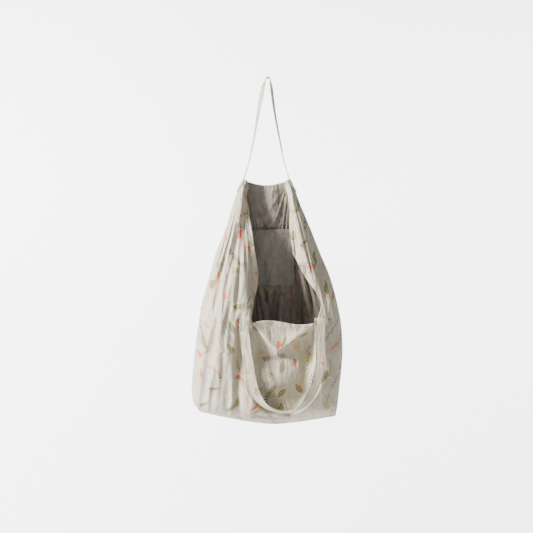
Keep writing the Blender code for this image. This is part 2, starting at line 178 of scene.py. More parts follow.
# Edges of the sunk part of that panel, which closes in a U: shares of BODY_WIDTH from the hang line
PanelEdge = namedtuple("PanelEdge", "down left right")
PANEL_EDGES = (
    PanelEdge(0.585, -0.110, 0.320),
    PanelEdge(0.700, -0.108, 0.315),
    PanelEdge(0.800, -0.104, 0.312),
    PanelEdge(0.860, -0.084, 0.294),
    PanelEdge(0.900, -0.050, 0.260),
    PanelEdge(0.932, -0.005, 0.212),
    PanelEdge(0.964, 0.050, 0.155),
)
# The slack cloth under the hem hangs in a V between the corners. Left, middle and right are shares of
# BODY_WIDTH from the hang line, and down is the share of BODY_HEIGHT at its point. It stands forward
# over a soft lower edge, in metres, and fades over a share of its own half width at each side.
COWL_LEFT = -0.118
COWL_MIDDLE = 0.061
COWL_RIGHT = 0.325
COWL_DOWN = 0.712
COWL_FORWARD = 0.021
COWL_EDGE = 0.009
COWL_SIDE = 0.10
COWL_TOP_SHARE = 0.75
# The rim of the front panel waves a little up and down, down to a share of BODY_HEIGHT below it
HEM_WAVE = 0.006
HEM_WAVE_SPAN = 0.06

# Folds of the outer face: from and to are (x share of BODY_WIDTH, down share), half_width is a share
# of BODY_WIDTH and height of BODY_DEPTH. A negative height is a valley.
Fold = namedtuple("Fold", "x_from down_from x_to down_to half_width height")
FRONT_FOLDS = (
    Fold(-0.150, 0.07, -0.105, 0.27, 0.035, 0.07),
    Fold(-0.115, 0.22, -0.185, 0.58, 0.045, 0.10),
    Fold(-0.185, 0.04, -0.270, 0.38, 0.035, 0.06),
    Fold(-0.200, 0.20, -0.275, 0.42, 0.030, -0.08),
    Fold(-0.240, 0.34, -0.330, 0.78, 0.045, 0.05),
    Fold(-0.180, 0.56, -0.155, 0.84, 0.025, -0.08),
    Fold(0.165, 0.05, 0.225, 0.27, 0.035, 0.06),
    Fold(0.200, 0.18, 0.330, 0.50, 0.050, 0.07),
    Fold(0.290, 0.16, 0.400, 0.46, 0.045, -0.06),
    Fold(0.390, 0.48, 0.400, 0.80, 0.040, 0.05),
    Fold(-0.100, 0.60, 0.060, 0.70, 0.045, 0.09),
    Fold(0.310, 0.60, 0.070, 0.70, 0.045, 0.08),
    Fold(-0.070, 0.67, -0.050, 0.86, 0.050, -0.06),
    Fold(0.270, 0.67, 0.240, 0.86, 0.060, -0.13),
    Fold(0.080, 0.74, 0.100, 0.86, 0.060, 0.07),
    Fold(0.210, 0.96, 0.350, 0.86, 0.025, 0.06),
)
BACK_FOLDS = (
    Fold(0.020, 0.00, 0.035, 0.20, 0.050, 0.09),
)

# Handle paths: x is a share of BODY_WIDTH from the hang line and turn is the angle in degrees that
# the flat band is turned about its own path.
Leg = namedtuple("Leg", "down x turn")
BACK_LEFT_LEG = (
    Leg(0.07, -0.030, -16.0),
    Leg(0.16, -0.043, -24.0),
    Leg(0.35, -0.068, -16.0),
    Leg(0.60, -0.096, -8.0),
    Leg(0.82, -0.128, -3.0),
)
BACK_RIGHT_LEG = (
    Leg(0.07, 0.021, 12.0),
    Leg(0.16, 0.028, 16.0),
    Leg(0.35, 0.046, 12.0),
    Leg(0.60, 0.078, 8.0),
    Leg(0.82, 0.108, 3.0),
)
Hang = namedtuple("Hang", "x down turn")
FRONT_PATH = (
    Hang(-0.156, 0.620, -10.0),
    Hang(-0.142, 0.694, -4.0),
    Hang(-0.125, 0.752, -2.0),
    Hang(-0.108, 0.814, -6.0),
    Hang(-0.081, 0.864, -22.0),
    Hang(-0.034, 0.905, -52.0),
    Hang(0.027, 0.930, -68.0),
    Hang(0.101, 0.940, -74.0),
    Hang(0.169, 0.934, -66.0),
    Hang(0.230, 0.910, -48.0),
    Hang(0.277, 0.870, -20.0),
    Hang(0.316, 0.816, -12.0),
    Hang(0.336, 0.760, -8.0),
    Hang(0.344, 0.694, -6.0),
    Hang(0.344, 0.620, -10.0),
)
FRONT_SEWN_LEFT = -0.138
FRONT_SEWN_RIGHT = 0.336

# Creases that fan out below the two points that the cloth hangs from, which are x and z in metres.
# The two fans blend over a width and grow over a run, in metres. A crease has an angle in radians
# and a run in metres.
FAN_LEFT = (-0.072, -0.300)
FAN_RIGHT = (0.064, -0.300)
FAN_BLEND = 0.08
FAN_GROWTH = 0.26
FAN_ANGLE = 0.085
FAN_RUN = 0.30
FAN_LIFT = 0.5
FAN_SHARPNESS = 2.2
FAN_FINE_SHARE = 0.35

# Broad, sharp and fine creases of a fan: how many times finer each is across it and along it
FanLayer = namedtuple("FanLayer", "across along seed")
FAN_LAYERS = (
    FanLayer(1.0, 1.0, 3.7),
    FanLayer(1.7, 1.4, 9.1),
    FanLayer(3.6, 2.2, 2.3),
)
WRINKLE_STRETCH = 1.8
WRINKLE_SEED = 5.3

FRONT = -1
BACK = 1

# Colours of the cloth and of its print, linear. The reverse linen and the darker plain tone are painted
# shade of the bag's inside, far darker than the face.
LINEN = (0.48, 0.427, 0.325, 1.0)
LINEN_DARK = (0.32, 0.277, 0.20, 1.0)
SHADED_REVERSE_LINEN = (0.27, 0.235, 0.195, 1.0)
# Painted shade: the pocket's plain, unprinted linen is darkened as the bag's inside in shadow
SHADED_PLAIN_LINEN = (0.27, 0.24, 0.205, 1.0)
SHADED_PLAIN_LINEN_DARK = (0.19, 0.165, 0.135, 1.0)
CORAL = (0.46, 0.075, 0.022, 1.0)
SALMON = (0.54, 0.16, 0.055, 1.0)
OLIVE = (0.13, 0.125, 0.03, 1.0)
SAGE = (0.25, 0.25, 0.09, 1.0)
RUST = (0.34, 0.075, 0.03, 1.0)
MUSTARD = (0.62, 0.36, 0.04, 1.0)
CRIMSON = (0.45, 0.025, 0.025, 1.0)
CHARCOAL = (0.035, 0.03, 0.03, 1.0)
STRAW = (0.42, 0.30, 0.17, 1.0)
PALE_BLUE = (0.36, 0.38, 0.38, 1.0)
BLUSH = (0.56, 0.30, 0.22, 1.0)

# Places on the printed cloth that the back panel and the handles are cut from, in metres aside
BACK_PRINT_SHIFT = 1.3
BACK_HANDLE_PRINT_SHIFT = 2.7
FRONT_HANDLE_PRINT_SHIFT = 3.4

# Motifs of the print, in metres where they are lengths
CELL_RANDOMNESS = 0.55
LEAF_BEND = 0.004
LEAF_TAPER = 0.45
LEAF_EDGE = 0.0009
RIB_EDGE = (0.0002, 0.0007)
VEIN_WAVES = 16.0
VEIN_SLANT = 420.0
VEIN_EDGE = (0.80, 1.0)
VEIN_STRENGTH = 0.5
TWIG_BEND = 0.006
STEM_EDGE = (0.0007, 0.0013)
LEAFLET_SLANT = 0.8
LEAFLET_STAGGER = 0.0026
LEAFLET_PITCH = 0.0085
LEAFLET_EDGE = 0.06
BLADE_DROOP = 0.008
BLADES_PER_RADIAN = 9.0
BLADE_SPREAD = 0.33
BLADE_EDGE = 0.003
BERRY_CELLS = 0.8
BERRY_RANDOMNESS = 0.6
BERRY_EDGE = (0.32, 0.42)

# Patches in which the ink is fainter
PATCH_SCALE = 260.0
PATCH_SPAN = 0.6
PATCH_FAINTEST = 0.70

# Layers of the print: the last ones lie over the first ones
Layer = namedtuple("Layer", "group cells shift share length width ink colours")
PRINT_LAYERS = (
    Layer("Leaf Scatter", 8.0, (5.3, 2.9, 0.0), 0.80, 0.058, 0.024, 0.42, (PALE_BLUE, BLUSH, SAGE)),
    Layer("Blade Scatter", 6.5, (1.7, 8.2, 0.0), 0.90, 0.100, 0.0032, 0.85, (STRAW, OLIVE, BLUSH)),
    Layer("Twig Scatter", 8.5, (3.1, 4.4, 0.0), 0.62, 0.075, 0.018, 0.90, (CHARCOAL, OLIVE, CHARCOAL)),
    Layer("Twig Scatter", 10.5, (6.2, 0.7, 0.0), 0.50, 0.052, 0.012, 0.80, (OLIVE, RUST, OLIVE)),
    Layer("Leaf Scatter", 12.0, (7.9, 1.3, 0.0), 0.72, 0.042, 0.018, 0.90, (OLIVE, OLIVE, SAGE, OLIVE)),
    Layer("Leaf Scatter", 12.5, (2.2, 6.6, 0.0), 0.30, 0.034, 0.012, 0.95, (CORAL, SALMON, RUST, CORAL)),
    Layer("Berry Scatter", 11.0, (9.4, 3.8, 0.0), 0.26, 0.018, 0.0050, 0.90, (CRIMSON, CORAL, RUST)),
    Layer("Berry Scatter", 13.0, (4.6, 9.9, 0.0), 0.36, 0.013, 0.0080, 0.95, (MUSTARD, CHARCOAL, MUSTARD)),
)

# Weave: scales are in waves a metre
THREAD_HEIGHT = 0.6
SLUB_ALONG = 45.0
SLUB_ACROSS = 700.0
SLUB_HEIGHT = 2.0
SLUB_EDGE = (0.30, 0.70)

# Washed creases, and the relief along a seam: widths and reaches in metres, scales in waves a metre
LONG_CREASE_SCALE = (55.0, 14.0)
CROSS_CREASE_SCALE = (26.0, 70.0)
CROSS_CREASE_HEIGHT = 0.6
RIDGE_SHARPNESS = 3.0
DIP_WIDTH = 0.0012
PUCKER_SCALE = 190.0
PUCKER_REACH = 0.008
PUCKER_HEIGHT = 0.8
HEM_STEP = (-0.001, 0.002)

# Looks of the cloth and of the thread
CLOUD_SCALE = 9.0
CLOUD_EDGE = (0.3, 0.7)
CLOUD_SHARE = 0.35
LINEN_ROUGHNESS = 0.82
THREAD_ROUGHENING = 0.10
LINEN_SPECULAR = 0.25
LINEN_SHEEN = 0.15
THREAD_ROUGHNESS = 0.75
FIBRE_SCALE = 2500.0
Bump = namedtuple("Bump", "distance strength")
CREASE_BUMP = Bump(0.0030, 0.8)
SEAM_BUMP = Bump(0.0006, 0.8)
WEAVE_BUMP = Bump(0.00015, 0.6)
FIBRE_BUMP = Bump(0.0001, 0.5)

# Stage, in metres, with the camera's sensor in millimetres
FLOOR_Z = -2.4
FLOOR_SIZE = 16.0
FLOOR_COLOUR = (0.93, 0.93, 0.93, 1.0)
FLOOR_ROUGHNESS = 0.9
BACKDROP_Y = 4.6
SWEEP_BEND = 2.0
KEY_PLACE = (-3.4, -1.6, 0.9)
KEY_SIZE = 1.3
FILL_PLACE = (2.8, -3.0, 0.2)
FILL_SIZE = 2.5
BACKDROP_LIGHT_PLACE = (2.6, 1.6, 0.4)
BACKDROP_LIGHT_SIZE = 2.0
BACKDROP_TARGET = (1.0, BACKDROP_Y, -0.6)
BACKDROP_LEFT_SHARE = 1.1
BACKDROP_RIGHT_SHARE = 0.75
SKY_COLOUR = (0.92, 0.94, 1.0, 1.0)
SENSOR_WIDTH = 36.0
CLIP_END = 100.0

# Kinds of node sockets, and the places of the colours on a Mix node, whose names aren't unique
FLOAT = "NodeSocketFloat"
VECTOR = "NodeSocketVector"
COLOUR = "NodeSocketColor"
MIX_FIRST = 6
MIX_SECOND = 7
MIX_RESULT = 2


# Settings
class LINENBAG_PG_cloth(bpy.types.PropertyGroup):
    """Sizes of the cloth and of its creases."""

    wall: FloatProperty(
        name="Cloth Thickness", description="One layer of the cloth", default=0.0013, unit="LENGTH"
    )
    hem_wall: FloatProperty(
        name="Hem Thickness", description="The folded hem round the mouth", default=0.0026, unit="LENGTH"
    )
    hem_line: FloatProperty(
        name="Hem Stitch Line",
        description="Distance of the hem's stitches from the rim",
        default=0.019,
        unit="LENGTH",
    )
    fan_height: FloatProperty(
        name="Fan Height", description="Height of the creases that fan out", default=0.0095, unit="LENGTH"
    )
    wrinkle_height: FloatProperty(
        name="Wrinkle Height", description="Height of the small wrinkles", default=0.0016, unit="LENGTH"
    )
    wrinkle_size: FloatProperty(
        name="Wrinkle Size", description="Width of the small wrinkles", default=0.022, unit="LENGTH"
    )


class LINENBAG_PG_handles(bpy.types.PropertyGroup):
    """Sizes of the two handles."""

    width: FloatProperty(name="Width", description="Width of the band", default=0.028, unit="LENGTH")
    thickness: FloatProperty(
        name="Thickness", description="Thickness of the folded band", default=0.0022, unit="LENGTH"
    )
    edge_round: FloatProperty(
        name="Edge Rounding", description="Rounding of the band's edges", default=0.0006, unit="LENGTH"
    )


class LINENBAG_PG_pocket(bpy.types.PropertyGroup):
    """Sizes of the patch pocket on the inside of the back."""

    width: FloatProperty(name="Width", description="Width of the pocket", default=0.150, unit="LENGTH")
    height: FloatProperty(name="Height", description="Height of the pocket", default=0.170, unit="LENGTH")
    top: FloatProperty(
        name="Top", description="Depth of its top below the handle's ends", default=0.148, unit="LENGTH"
    )
    thickness: FloatProperty(
        name="Thickness", description="Thickness of the cloth", default=0.0012, unit="LENGTH"
    )
    middle: FloatProperty(
        name="Middle", description="Distance to the right of the hang line", default=0.004, unit="LENGTH"
    )
    bulge: FloatProperty(name="Bulge", description="How far its top gapes", default=0.006, unit="LENGTH")
    hem_line: FloatProperty(
        name="Hem Stitch Line", description="Depth of the top hem's stitches", default=0.015, unit="LENGTH"
    )


class LINENBAG_PG_stitches(bpy.types.PropertyGroup):
    """Sizes of the visible stitches."""

    pitch: FloatProperty(name="Pitch", description="From stitch to stitch", default=0.0034, unit="LENGTH")
    length: FloatProperty(name="Length", description="Length of a stitch", default=0.0026, unit="LENGTH")
    thread: FloatProperty(name="Thread", description="Width of the thread", default=0.0006, unit="LENGTH")
    inset: FloatProperty(
        name="Inset", description="Distance of a seam's stitches from the edge", default=0.003, unit="LENGTH"
    )


class LINENBAG_PG_stage(bpy.types.PropertyGroup):
    """Camera, lights and floor."""

    distance: FloatProperty(
        name="Camera Distance", description="From the hang line", default=4.5, unit="LENGTH"
    )
    view_width: FloatProperty(
        name="View Width", description="Width seen at the hang line", default=1.599, unit="LENGTH"
    )
    view_x: FloatProperty(name="View X", description="Middle of the view", default=-0.0045, unit="LENGTH")
    view_z: FloatProperty(name="View Z", description="Height of the view", default=-0.566, unit="LENGTH")
    key_power: FloatProperty(name="Key Power", description="Power of the key light in watts", default=950.0)
    fill_power: FloatProperty(
        name="Fill Power", description="Power of the fill light in watts", default=26.0
    )
    backdrop_power: FloatProperty(
        name="Backdrop Power", description="Power of each light on the backdrop in watts", default=420.0
    )
    sky: FloatProperty(name="Sky", description="Strength of the even light all round", default=0.34)
    floor_steps: IntProperty(name="Floor Steps", description="Steps along the floor's sweep", default=64)


# Shape of the cloth
def smooth_step(share):
    share = np.clip(share, 0.0, 1.0)
    return share * share * (3.0 - 2.0 * share)


def table_value(rows, column, down):
    """A table's column at a place down the body, on a smooth curve through its rows."""
    last = len(rows) - 1
    if down <= rows[0].down:
        return getattr(rows[0], column)
    if down >= rows[last].down:
        return getattr(rows[last], column)
    start = max(i for i in range(last) if rows[i].down <= down)
    places = [rows[min(max(start + i, 0), last)].down for i in (-1, 0, 1, 2)]
    values = [getattr(rows[min(max(start + i, 0), last)], column) for i in (-1, 0, 1, 2)]
    run = places[2] - places[1]
    slope_in = (values[2] - values[0]) / (places[2] - places[0])
    slope_out = (values[3] - values[1]) / (places[3] - places[1])
    share = (down - places[1]) / run
    cubed, squared = share**3, share**2
    return (
        values[1] * (2 * cubed - 3 * squared + 1)
        + values[2] * (3 * squared - 2 * cubed)
        + run * slope_in * (cubed - 2 * squared + share)
        + run * slope_out * (cubed - squared)
    )


@lru_cache(maxsize=None)
def level_at(down):
    values = [table_value(LEVELS, column, down) for column in Level._fields[1:]]
    return Level(down, *values)


def fold_relief(folds, x, down):
    """How far the folds push the cloth out of its plain face, for an array of x."""
    relief = np.zeros_like(x)
    for fold in folds:
        start_x, start_z = fold.x_from * BODY_WIDTH, fold.down_from * BODY_HEIGHT
        run_x, run_z = fold.x_to * BODY_WIDTH - start_x, fold.down_to * BODY_HEIGHT - start_z
        here_x, here_z = x - start_x, down * BODY_HEIGHT - start_z
        along = np.clip((here_x * run_x + here_z * run_z) / (run_x**2 + run_z**2), 0.0, 1.0)
        apart = np.hypot(here_x - run_x * along, here_z - run_z * along) / (fold.half_width * BODY_WIDTH)
        swell = np.sin(math.pi * (FOLD_START + (FOLD_END - FOLD_START) * along))
        relief += fold.height * BODY_DEPTH * np.exp(-apart * apart) * swell
    return relief


def fan_noise(angle, radius, layer, side):
    across = angle / FAN_ANGLE * layer.across
    along = radius / FAN_RUN * layer.along
    return noise.noise(Vector((across, along, side * layer.seed)))


def fan_crease(x, z, point, side):
    """A crease pattern that fans out below one hanging point."""
    run_x, run_z = x - point[0], point[1] - z
    radius = math.hypot(run_x, run_z)
    angle = math.atan2(run_x, run_z)
    broad, sharp, fine = (fan_noise(angle, radius, layer, side) for layer in FAN_LAYERS)
    height = broad + FAN_LIFT - FAN_SHARPNESS * abs(sharp) + FAN_FINE_SHARE * fine
    return height * min(radius / FAN_GROWTH, 1.0)


def crease_relief(x, z, side, cloth):
    """The height of the fanned creases and of the small wrinkles at one place."""
    right = float(smooth_step(x / FAN_BLEND / 2 + 0.5))
    fan = fan_crease(x, z, FAN_LEFT, side) * (1.0 - right) + fan_crease(x, z, FAN_RIGHT, side) * right
    size = cloth.wrinkle_size
    small = noise.noise(Vector((x / size, z / size / WRINKLE_STRETCH, side * WRINKLE_SEED)))
    return cloth.fan_height * fan + cloth.wrinkle_height * small


def cowl_relief(x, down):
    """How far the V of slack cloth under the hem stands forward, with a steep lower edge."""
    share = x / BODY_WIDTH
    left = np.clip((share - COWL_LEFT) / (COWL_MIDDLE - COWL_LEFT), 0.0, 1.0)
    right = np.clip((COWL_RIGHT - share) / (COWL_RIGHT - COWL_MIDDLE), 0.0, 1.0)
    inward = np.minimum(left, right)
    edge = HEM_DOWN + (COWL_DOWN - HEM_DOWN) * inward
    above = smooth_step((edge - down) * BODY_HEIGHT / COWL_EDGE + 0.5)
    fullness = smooth_step((down - HEM_DOWN) * BODY_HEIGHT / COWL_EDGE / 2)
    forward = COWL_FORWARD * above * (COWL_TOP_SHARE + (1.0 - COWL_TOP_SHARE) * fullness)
    return forward * smooth_step(inward / COWL_SIDE)


def hem_wave(across_mouth, down):
    """How far the front panel's rim, and the cloth below it, rises. 0 and 1 are its corners."""
    near = 1.0 - smooth_step((down - HEM_DOWN) / HEM_WAVE_SPAN)
    return HEM_WAVE * near * np.sin(2.0 * math.pi * np.clip(across_mouth, 0.0, 1.0))


def panel_share(x, down):
    """1 on the sunk part of the front panel, falling to 0 beyond its edges."""
    left = table_value(PANEL_EDGES, "left", down) * BODY_WIDTH
    right = table_value(PANEL_EDGES, "right", down) * BODY_WIDTH
    margin = PANEL_BLEND * BODY_WIDTH
    from_left = smooth_step((x - left + margin) / (2 * margin))
    from_right = smooth_step((right + margin - x) / (2 * margin))
    return from_left * from_right


def edge_turn(distance, reach):
    """0 on a side edge of the body, rising along a quarter circle to 1 at reach from it."""
    share = np.clip(distance / reach, 0.0, 1.0)
    return np.sqrt(1.0 - (1.0 - share) ** 2)


def base_turn(down):
    """1 down to the rounded base, then falling along a quarter circle to 0 at its seam."""
    start = 1.0 - BASE_ROUND / BODY_HEIGHT
    share = min(max((down - start) / (1.0 - start), 0.0), 1.0)
    return math.sqrt(1.0 - share * share)


def rim_shift(across, flap_share, side):
    """How far the rim hangs below its level, at the very top of the body."""
    if side == BACK:
        return BACK_RIM_SAG * np.sin(math.pi * across)
    return FLAP_FALL * smooth_step((flap_share - FALL_FROM) / (1.0 - FALL_FROM))


def base_lift(across):
    """How far the base seam rises from its lowest place towards a side edge."""
    to_left = np.clip(1.0 - across / BASE_LOWEST, 0.0, 1.0)
    to_right = np.clip((across - BASE_LOWEST) / (1.0 - BASE_LOWEST), 0.0, 1.0)
    return BASE_LIFT_LEFT * to_left**BASE_SLOPE + BASE_LIFT_RIGHT * to_right**BASE_SLOPE


def front_relief(x, down, flap_share, crease):
    """How far the folds, the sunk panel and the curled flaps move the front face forward."""
    above_hem = smooth_step((HEM_DOWN - down) / CURL_SPAN_ABOVE_HEM)
    curl = np.where(x < 0.0, FLAP_CURL_LEFT, FLAP_CURL_RIGHT)
    curl = curl * above_hem * smooth_step((flap_share - CURL_FROM) / (1.0 - CURL_FROM))
    panel = panel_share(x, down)
    calm = PANEL_CALM * panel * smooth_step((down - HEM_DOWN) / PANEL_CALM_SPAN + 1.0)
    calm = np.maximum(calm, RIGHT_FLAP_CALM * smooth_step(x / FAN_BLEND))
    relief = fold_relief(FRONT_FOLDS, x, down) - curl + crease * (1.0 - calm)
    if down < HEM_DOWN:
        return relief
    sunk = table_value(FRONT_PROFILE, "forward", down) * BODY_DEPTH * panel
    return relief + sunk + cowl_relief(x, down)


def outer_row(across, down, side, cloth):
    """A row of points of the cloth's outer face. across runs from 0 to 1 between the side edges."""
    level = level_at(down)
    left, right, flap_left, flap_right = (share * BODY_WIDTH for share in level[1:5])
    depth = level.depth * BODY_DEPTH
    x = left + (right - left) * across
    flap_share = np.minimum((x - left) / (flap_left - left), (right - x) / (right - flap_right))
    flap_share = np.minimum(flap_share, 1.0)
    sag = rim_shift(across, flap_share, side) * (1.0 - smooth_step(down / RIM_SHIFT_SPAN))
    lift = base_lift(across) * smooth_step((down - BASE_LIFT_FROM) / (1.0 - BASE_LIFT_FROM))
    z = lift - sag - HANDLE_DROP - BODY_HEIGHT * down
    crease = np.array([crease_relief(px, pz, side, cloth) for px, pz in zip(x, z)])
    if side == BACK:
        face = BACK_Y - fold_relief(BACK_FOLDS, x, down) + crease
    else:
        face = BACK_Y - depth - front_relief(x, down, flap_share, crease)
    if side == FRONT and down >= HEM_DOWN:
        z = z + hem_wave((x - flap_left) / (flap_right - flap_left), down)
    reach = EDGE_ROUND * depth
    turn = np.minimum(edge_turn(x - left, reach), edge_turn(right - x, reach)) * base_turn(down)
    middle = BACK_Y - depth / 2
    return np.stack([x, middle + (face - middle) * turn, z], axis=1)


def column_places(down):
    """The across share of each column of one level, closer together round the side edges."""
    level = level_at(down)
    span = level.right - level.left
    first = (level.flap_left - level.left) / span
    last = (level.flap_right - level.left) / span
    closer = (np.arange(EDGE_COLUMNS) / EDGE_COLUMNS) ** EDGE_CLOSENESS
    middle = np.linspace(first, last, FRONT_COLUMNS + 1)
    return np.concatenate([first * closer, middle, 1.0 - (1.0 - last) * closer[::-1]])


def row_places():
    """The levels of the rows, from the rim to the base seam, evenly along the cloth."""
    base_start = 1.0 - BASE_ROUND / BODY_HEIGHT
    upper = [HEM_DOWN * i / UPPER_ROWS for i in range(UPPER_ROWS)]
    lower = [HEM_DOWN + (base_start - HEM_DOWN) * i / LOWER_ROWS for i in range(LOWER_ROWS)]
    turns = [math.sin(math.pi / 2 * i / BASE_ROWS) for i in range(BASE_ROWS + 1)]
    return upper + lower + [base_start + (1.0 - base_start) * turn for turn in turns]


def flat_places(points):
    """Where each point of one side lies on the flat cloth, and how far from the side and base seams."""
    widths = np.hypot(np.diff(points[:, :, 0], axis=1), np.diff(points[:, :, 1], axis=1))
    across = np.cumsum(np.pad(widths, ((0, 0), (1, 0))), axis=1)
    heights = np.hypot(np.diff(points[:, :, 1], axis=0), np.diff(points[:, :, 2], axis=0))
    climb = np.cumsum(np.pad(heights, ((0, 1), (0, 0)))[::-1], axis=0)[::-1]
    middle = (points[:, :1, 0] + points[:, -1:, 0]) / 2
    u = middle + across - across[:, -1:] / 2
    v = points[-1:, :, 2] + climb
    from_seam = np.minimum(np.minimum(across, across[:, -1:] - across), climb)
    return u, v, from_seam


def place_grid(mesh, points, u, v):
    """A grid of faces whose vertices lie on an array of points, with its places on the flat cloth."""
    uv_layer = mesh.loops.layers.uv.get("UVMap") or mesh.loops.layers.uv.new("UVMap")
    rows, columns = points.shape[0] - 1, points.shape[1] - 1
    made = bmesh.ops.create_grid(mesh, x_segments=columns, y_segments=rows, size=0.5)
    places = {}
    for vert in made["verts"]:
        places[vert] = (round((0.5 - vert.co.y) * rows), round((vert.co.x + 0.5) * columns))
    faces = {face for vert in made["verts"] for face in vert.link_faces}
    for face in faces:
        for loop in face.loops:
            place = places[loop.vert]
            loop[uv_layer].uv = (u[place], v[place])
    for vert, place in places.items():
        vert.co = points[place]
    return places, faces


def add_side(mesh, side, cloth, seam_layer):
    """One side of the sack. The front is left open at the mouth."""
    downs = row_places()
    points = np.array([outer_row(column_places(down), down, side, cloth) for down in downs])
    u, v, from_seam = flat_places(points)
    offset = BACK_PRINT_SHIFT if side == BACK else 0.0
    places, faces = place_grid(mesh, points, u + offset, v)
    for vert, place in places.items():
        vert[seam_layer] = from_seam[place]
    if side == BACK:
        bmesh.ops.reverse_faces(mesh, faces=list(faces))
        return
    mouth = []
    for face in faces:
        rows = [places[vert][0] for vert in face.verts]
        columns = [places[vert][1] for vert in face.verts]
        inside = EDGE_COLUMNS <= min(columns) and max(columns) <= EDGE_COLUMNS + FRONT_COLUMNS
        if inside and max(rows) <= UPPER_ROWS:
            mouth.append(face)
    bmesh.ops.delete(mesh, geom=mouth, context="FACES")


def rim_distances(mesh):
    """The distance of each vertex from the free rim of the mouth."""
    rim = [vert.co for vert in mesh.verts if vert.is_boundary]
    tree = KDTree(len(rim))
    for i, point in enumerate(rim):
        tree.insert(point, i)
    tree.balance()
    return [tree.find(vert.co)[2] for vert in mesh.verts]


def sack_mesh(cloth):
    """The outer face of the sack, and the share of the hem's extra thickness at each vertex."""
    mesh = bmesh.new()
    seam_layer = mesh.verts.layers.float.new("side_seam")
    line_layer = mesh.verts.layers.float.new("stitch_line")
    for side in (FRONT, BACK):
        add_side(mesh, side, cloth, seam_layer)
    bmesh.ops.remove_doubles(mesh, verts=mesh.verts[:], dist=WELD_DISTANCE)
    distances = rim_distances(mesh)
    for vert, distance in zip(mesh.verts, distances):
        vert[line_layer] = cloth.hem_line - distance
    hem = [float(smooth_step((HEM_HEIGHT - distance) / HEM_EDGE + 0.5)) for distance in distances]
    return mesh, hem


# Objects
def add_object(name, mesh, *materials):
    data = bpy.data.meshes.new(name)
    mesh.to_mesh(data)
    mesh.free()
    for material in materials:
        data.materials.append(material)
    data.shade_smooth()
    obj = bpy.data.objects.new(name, data)
    bpy.context.scene.collection.objects.link(obj)
    return obj


def add_wall(obj, thickness, offset):
    wall = obj.modifiers.new("Wall", "SOLIDIFY")
    wall.thickness = thickness
    wall.offset = offset
    wall.use_even_offset = False
    return wall


def join_frame(piece, slot, *nodes):
    """The piece rides on the bag's only body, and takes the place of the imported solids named."""
    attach(piece, "root")
    if nodes:
        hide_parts(*nodes)


def build_sack(cloth, materials):
    mesh, hem = sack_mesh(cloth)
    sack = add_object("bag_cloth", mesh, *materials)
    group = sack.vertex_groups.new(name="hem")
    for index, share in enumerate(hem):
        group.add([index], share, "REPLACE")
    wall = add_wall(sack, cloth.hem_wall, -1.0)
    wall.vertex_group = group.name
    wall.thickness_vertex_group = cloth.wall / cloth.hem_wall
    # Painted shade: the inner faces take the second material, the reverse linen darkened as the bag's inside
    # in shadow
    wall.material_offset = 1
    join_frame(sack, "printed_linen", "bag_body")


def seat(tree, start, direction, distance):
    """The point at a distance before the first face that a ray meets, and that face's normal."""
    hit, normal, _, _ = tree.ray_cast(start, direction)
    if hit is None:
        return None, None
    if normal.dot(direction) > 0:
        normal = -normal
    return hit + normal * distance, normal


def smooth_path(points, step):
    """Points about a step apart, on a smooth curve through a few chosen ones."""
    last = len(points) - 1
    path = []
    for i in range(last):
        before, start, end, after = (points[min(max(i + k, 0), last)] for k in (-1, 0, 1, 2))
        count = max(1, round((end - start).xyz.length / step))
        for j in range(count):
            share = j / count
            linear = (end - before) * share
            squared = (2 * before - 5 * start + 4 * end - after) * share**2
            cubed = (3 * start - before - 3 * end + after) * share**3
            path.append(0.5 * (2 * start + linear + squared + cubed))
    path.append(points[last])
    return path


def width_steps(width):
    return [width * (i / HANDLE_COLUMNS - 0.5) for i in range(HANDLE_COLUMNS + 1)]


def row_middle(row):
    return sum(row, Vector()) / len(row)


def band_mesh(rows, handles, stitches, offset):
    """A flat band through rows of points, with its places on the cloth and its stitch lines."""
    mesh = bmesh.new()
    line_layer = mesh.verts.layers.float.new("stitch_line")
    points = np.array([[tuple(point) for point in row] for row in rows])
    steps = [0.0] + [(row_middle(b) - row_middle(a)).length for a, b in zip(rows, rows[1:])]
    v = np.repeat(np.cumsum(steps)[:, None], points.shape[1], axis=1)
    across = np.array(width_steps(handles.width))
    u = np.repeat(across[None, :] + offset, points.shape[0], axis=0)
    places, _ = place_grid(mesh, points, u, v)
    for vert, (_, column) in places.items():
        vert[line_layer] = stitches.inset - (handles.width / 2 - abs(across[column]))
    return mesh


def build_band(node, rows, settings, material, offset):
    """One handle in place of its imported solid, with softly rounded edges."""
    mesh = band_mesh(rows, settings.handles, settings.stitches, offset)
    band = add_object(f"{node}_band", mesh, material)
    add_wall(band, settings.handles.thickness, 0.0)
    bevel = band.modifiers.new("Soft Edges", "BEVEL")
    bevel.width = settings.handles.edge_round
    bevel.segments = BAND_EDGE_SEGMENTS
    bevel.limit_method = "ANGLE"
    bevel.angle_limit = math.radians(BAND_EDGE_ANGLE)
    join_frame(band, "printed_linen", node)
    length = sum((row_middle(b) - row_middle(a)).length for a, b in zip(rows, rows[1:]))


def carried_on(row, row_before):
    """The row, with points that missed the cloth's edge set as the row before it has them."""
    centre = len(row) // 2
    move = row[centre] - row_before[centre]
    pairs = zip(row, row_before)
    return [before + move if (point - before).length > SEWN_JUMP else point for point, before in pairs]


def back_sewn_rows(tree, side, handles):
    """Rows of the back handle's sewn end, wrapped round one side edge of the rim, bottom first."""
    rows = []
    distance = SEAM_GAP + handles.thickness / 2
    for step in range(SEWN_ROWS + 1):
        down = (SEWN_LENGTH * (1.0 - step / SEWN_ROWS) + SEWN_BELOW_RIM) / BODY_HEIGHT
        middle = BACK_Y - level_at(down).depth * BODY_DEPTH / 2
        z = -HANDLE_DROP - BODY_HEIGHT * down
        starts = [Vector((side * BODY_WIDTH, middle + w, z)) for w in width_steps(handles.width)]
        row = [seat(tree, start, Vector((-side, 0, 0)), distance)[0] for start in starts]
        if rows:
            row = carried_on(row, rows[-1])
        rows.append(row)
    return rows


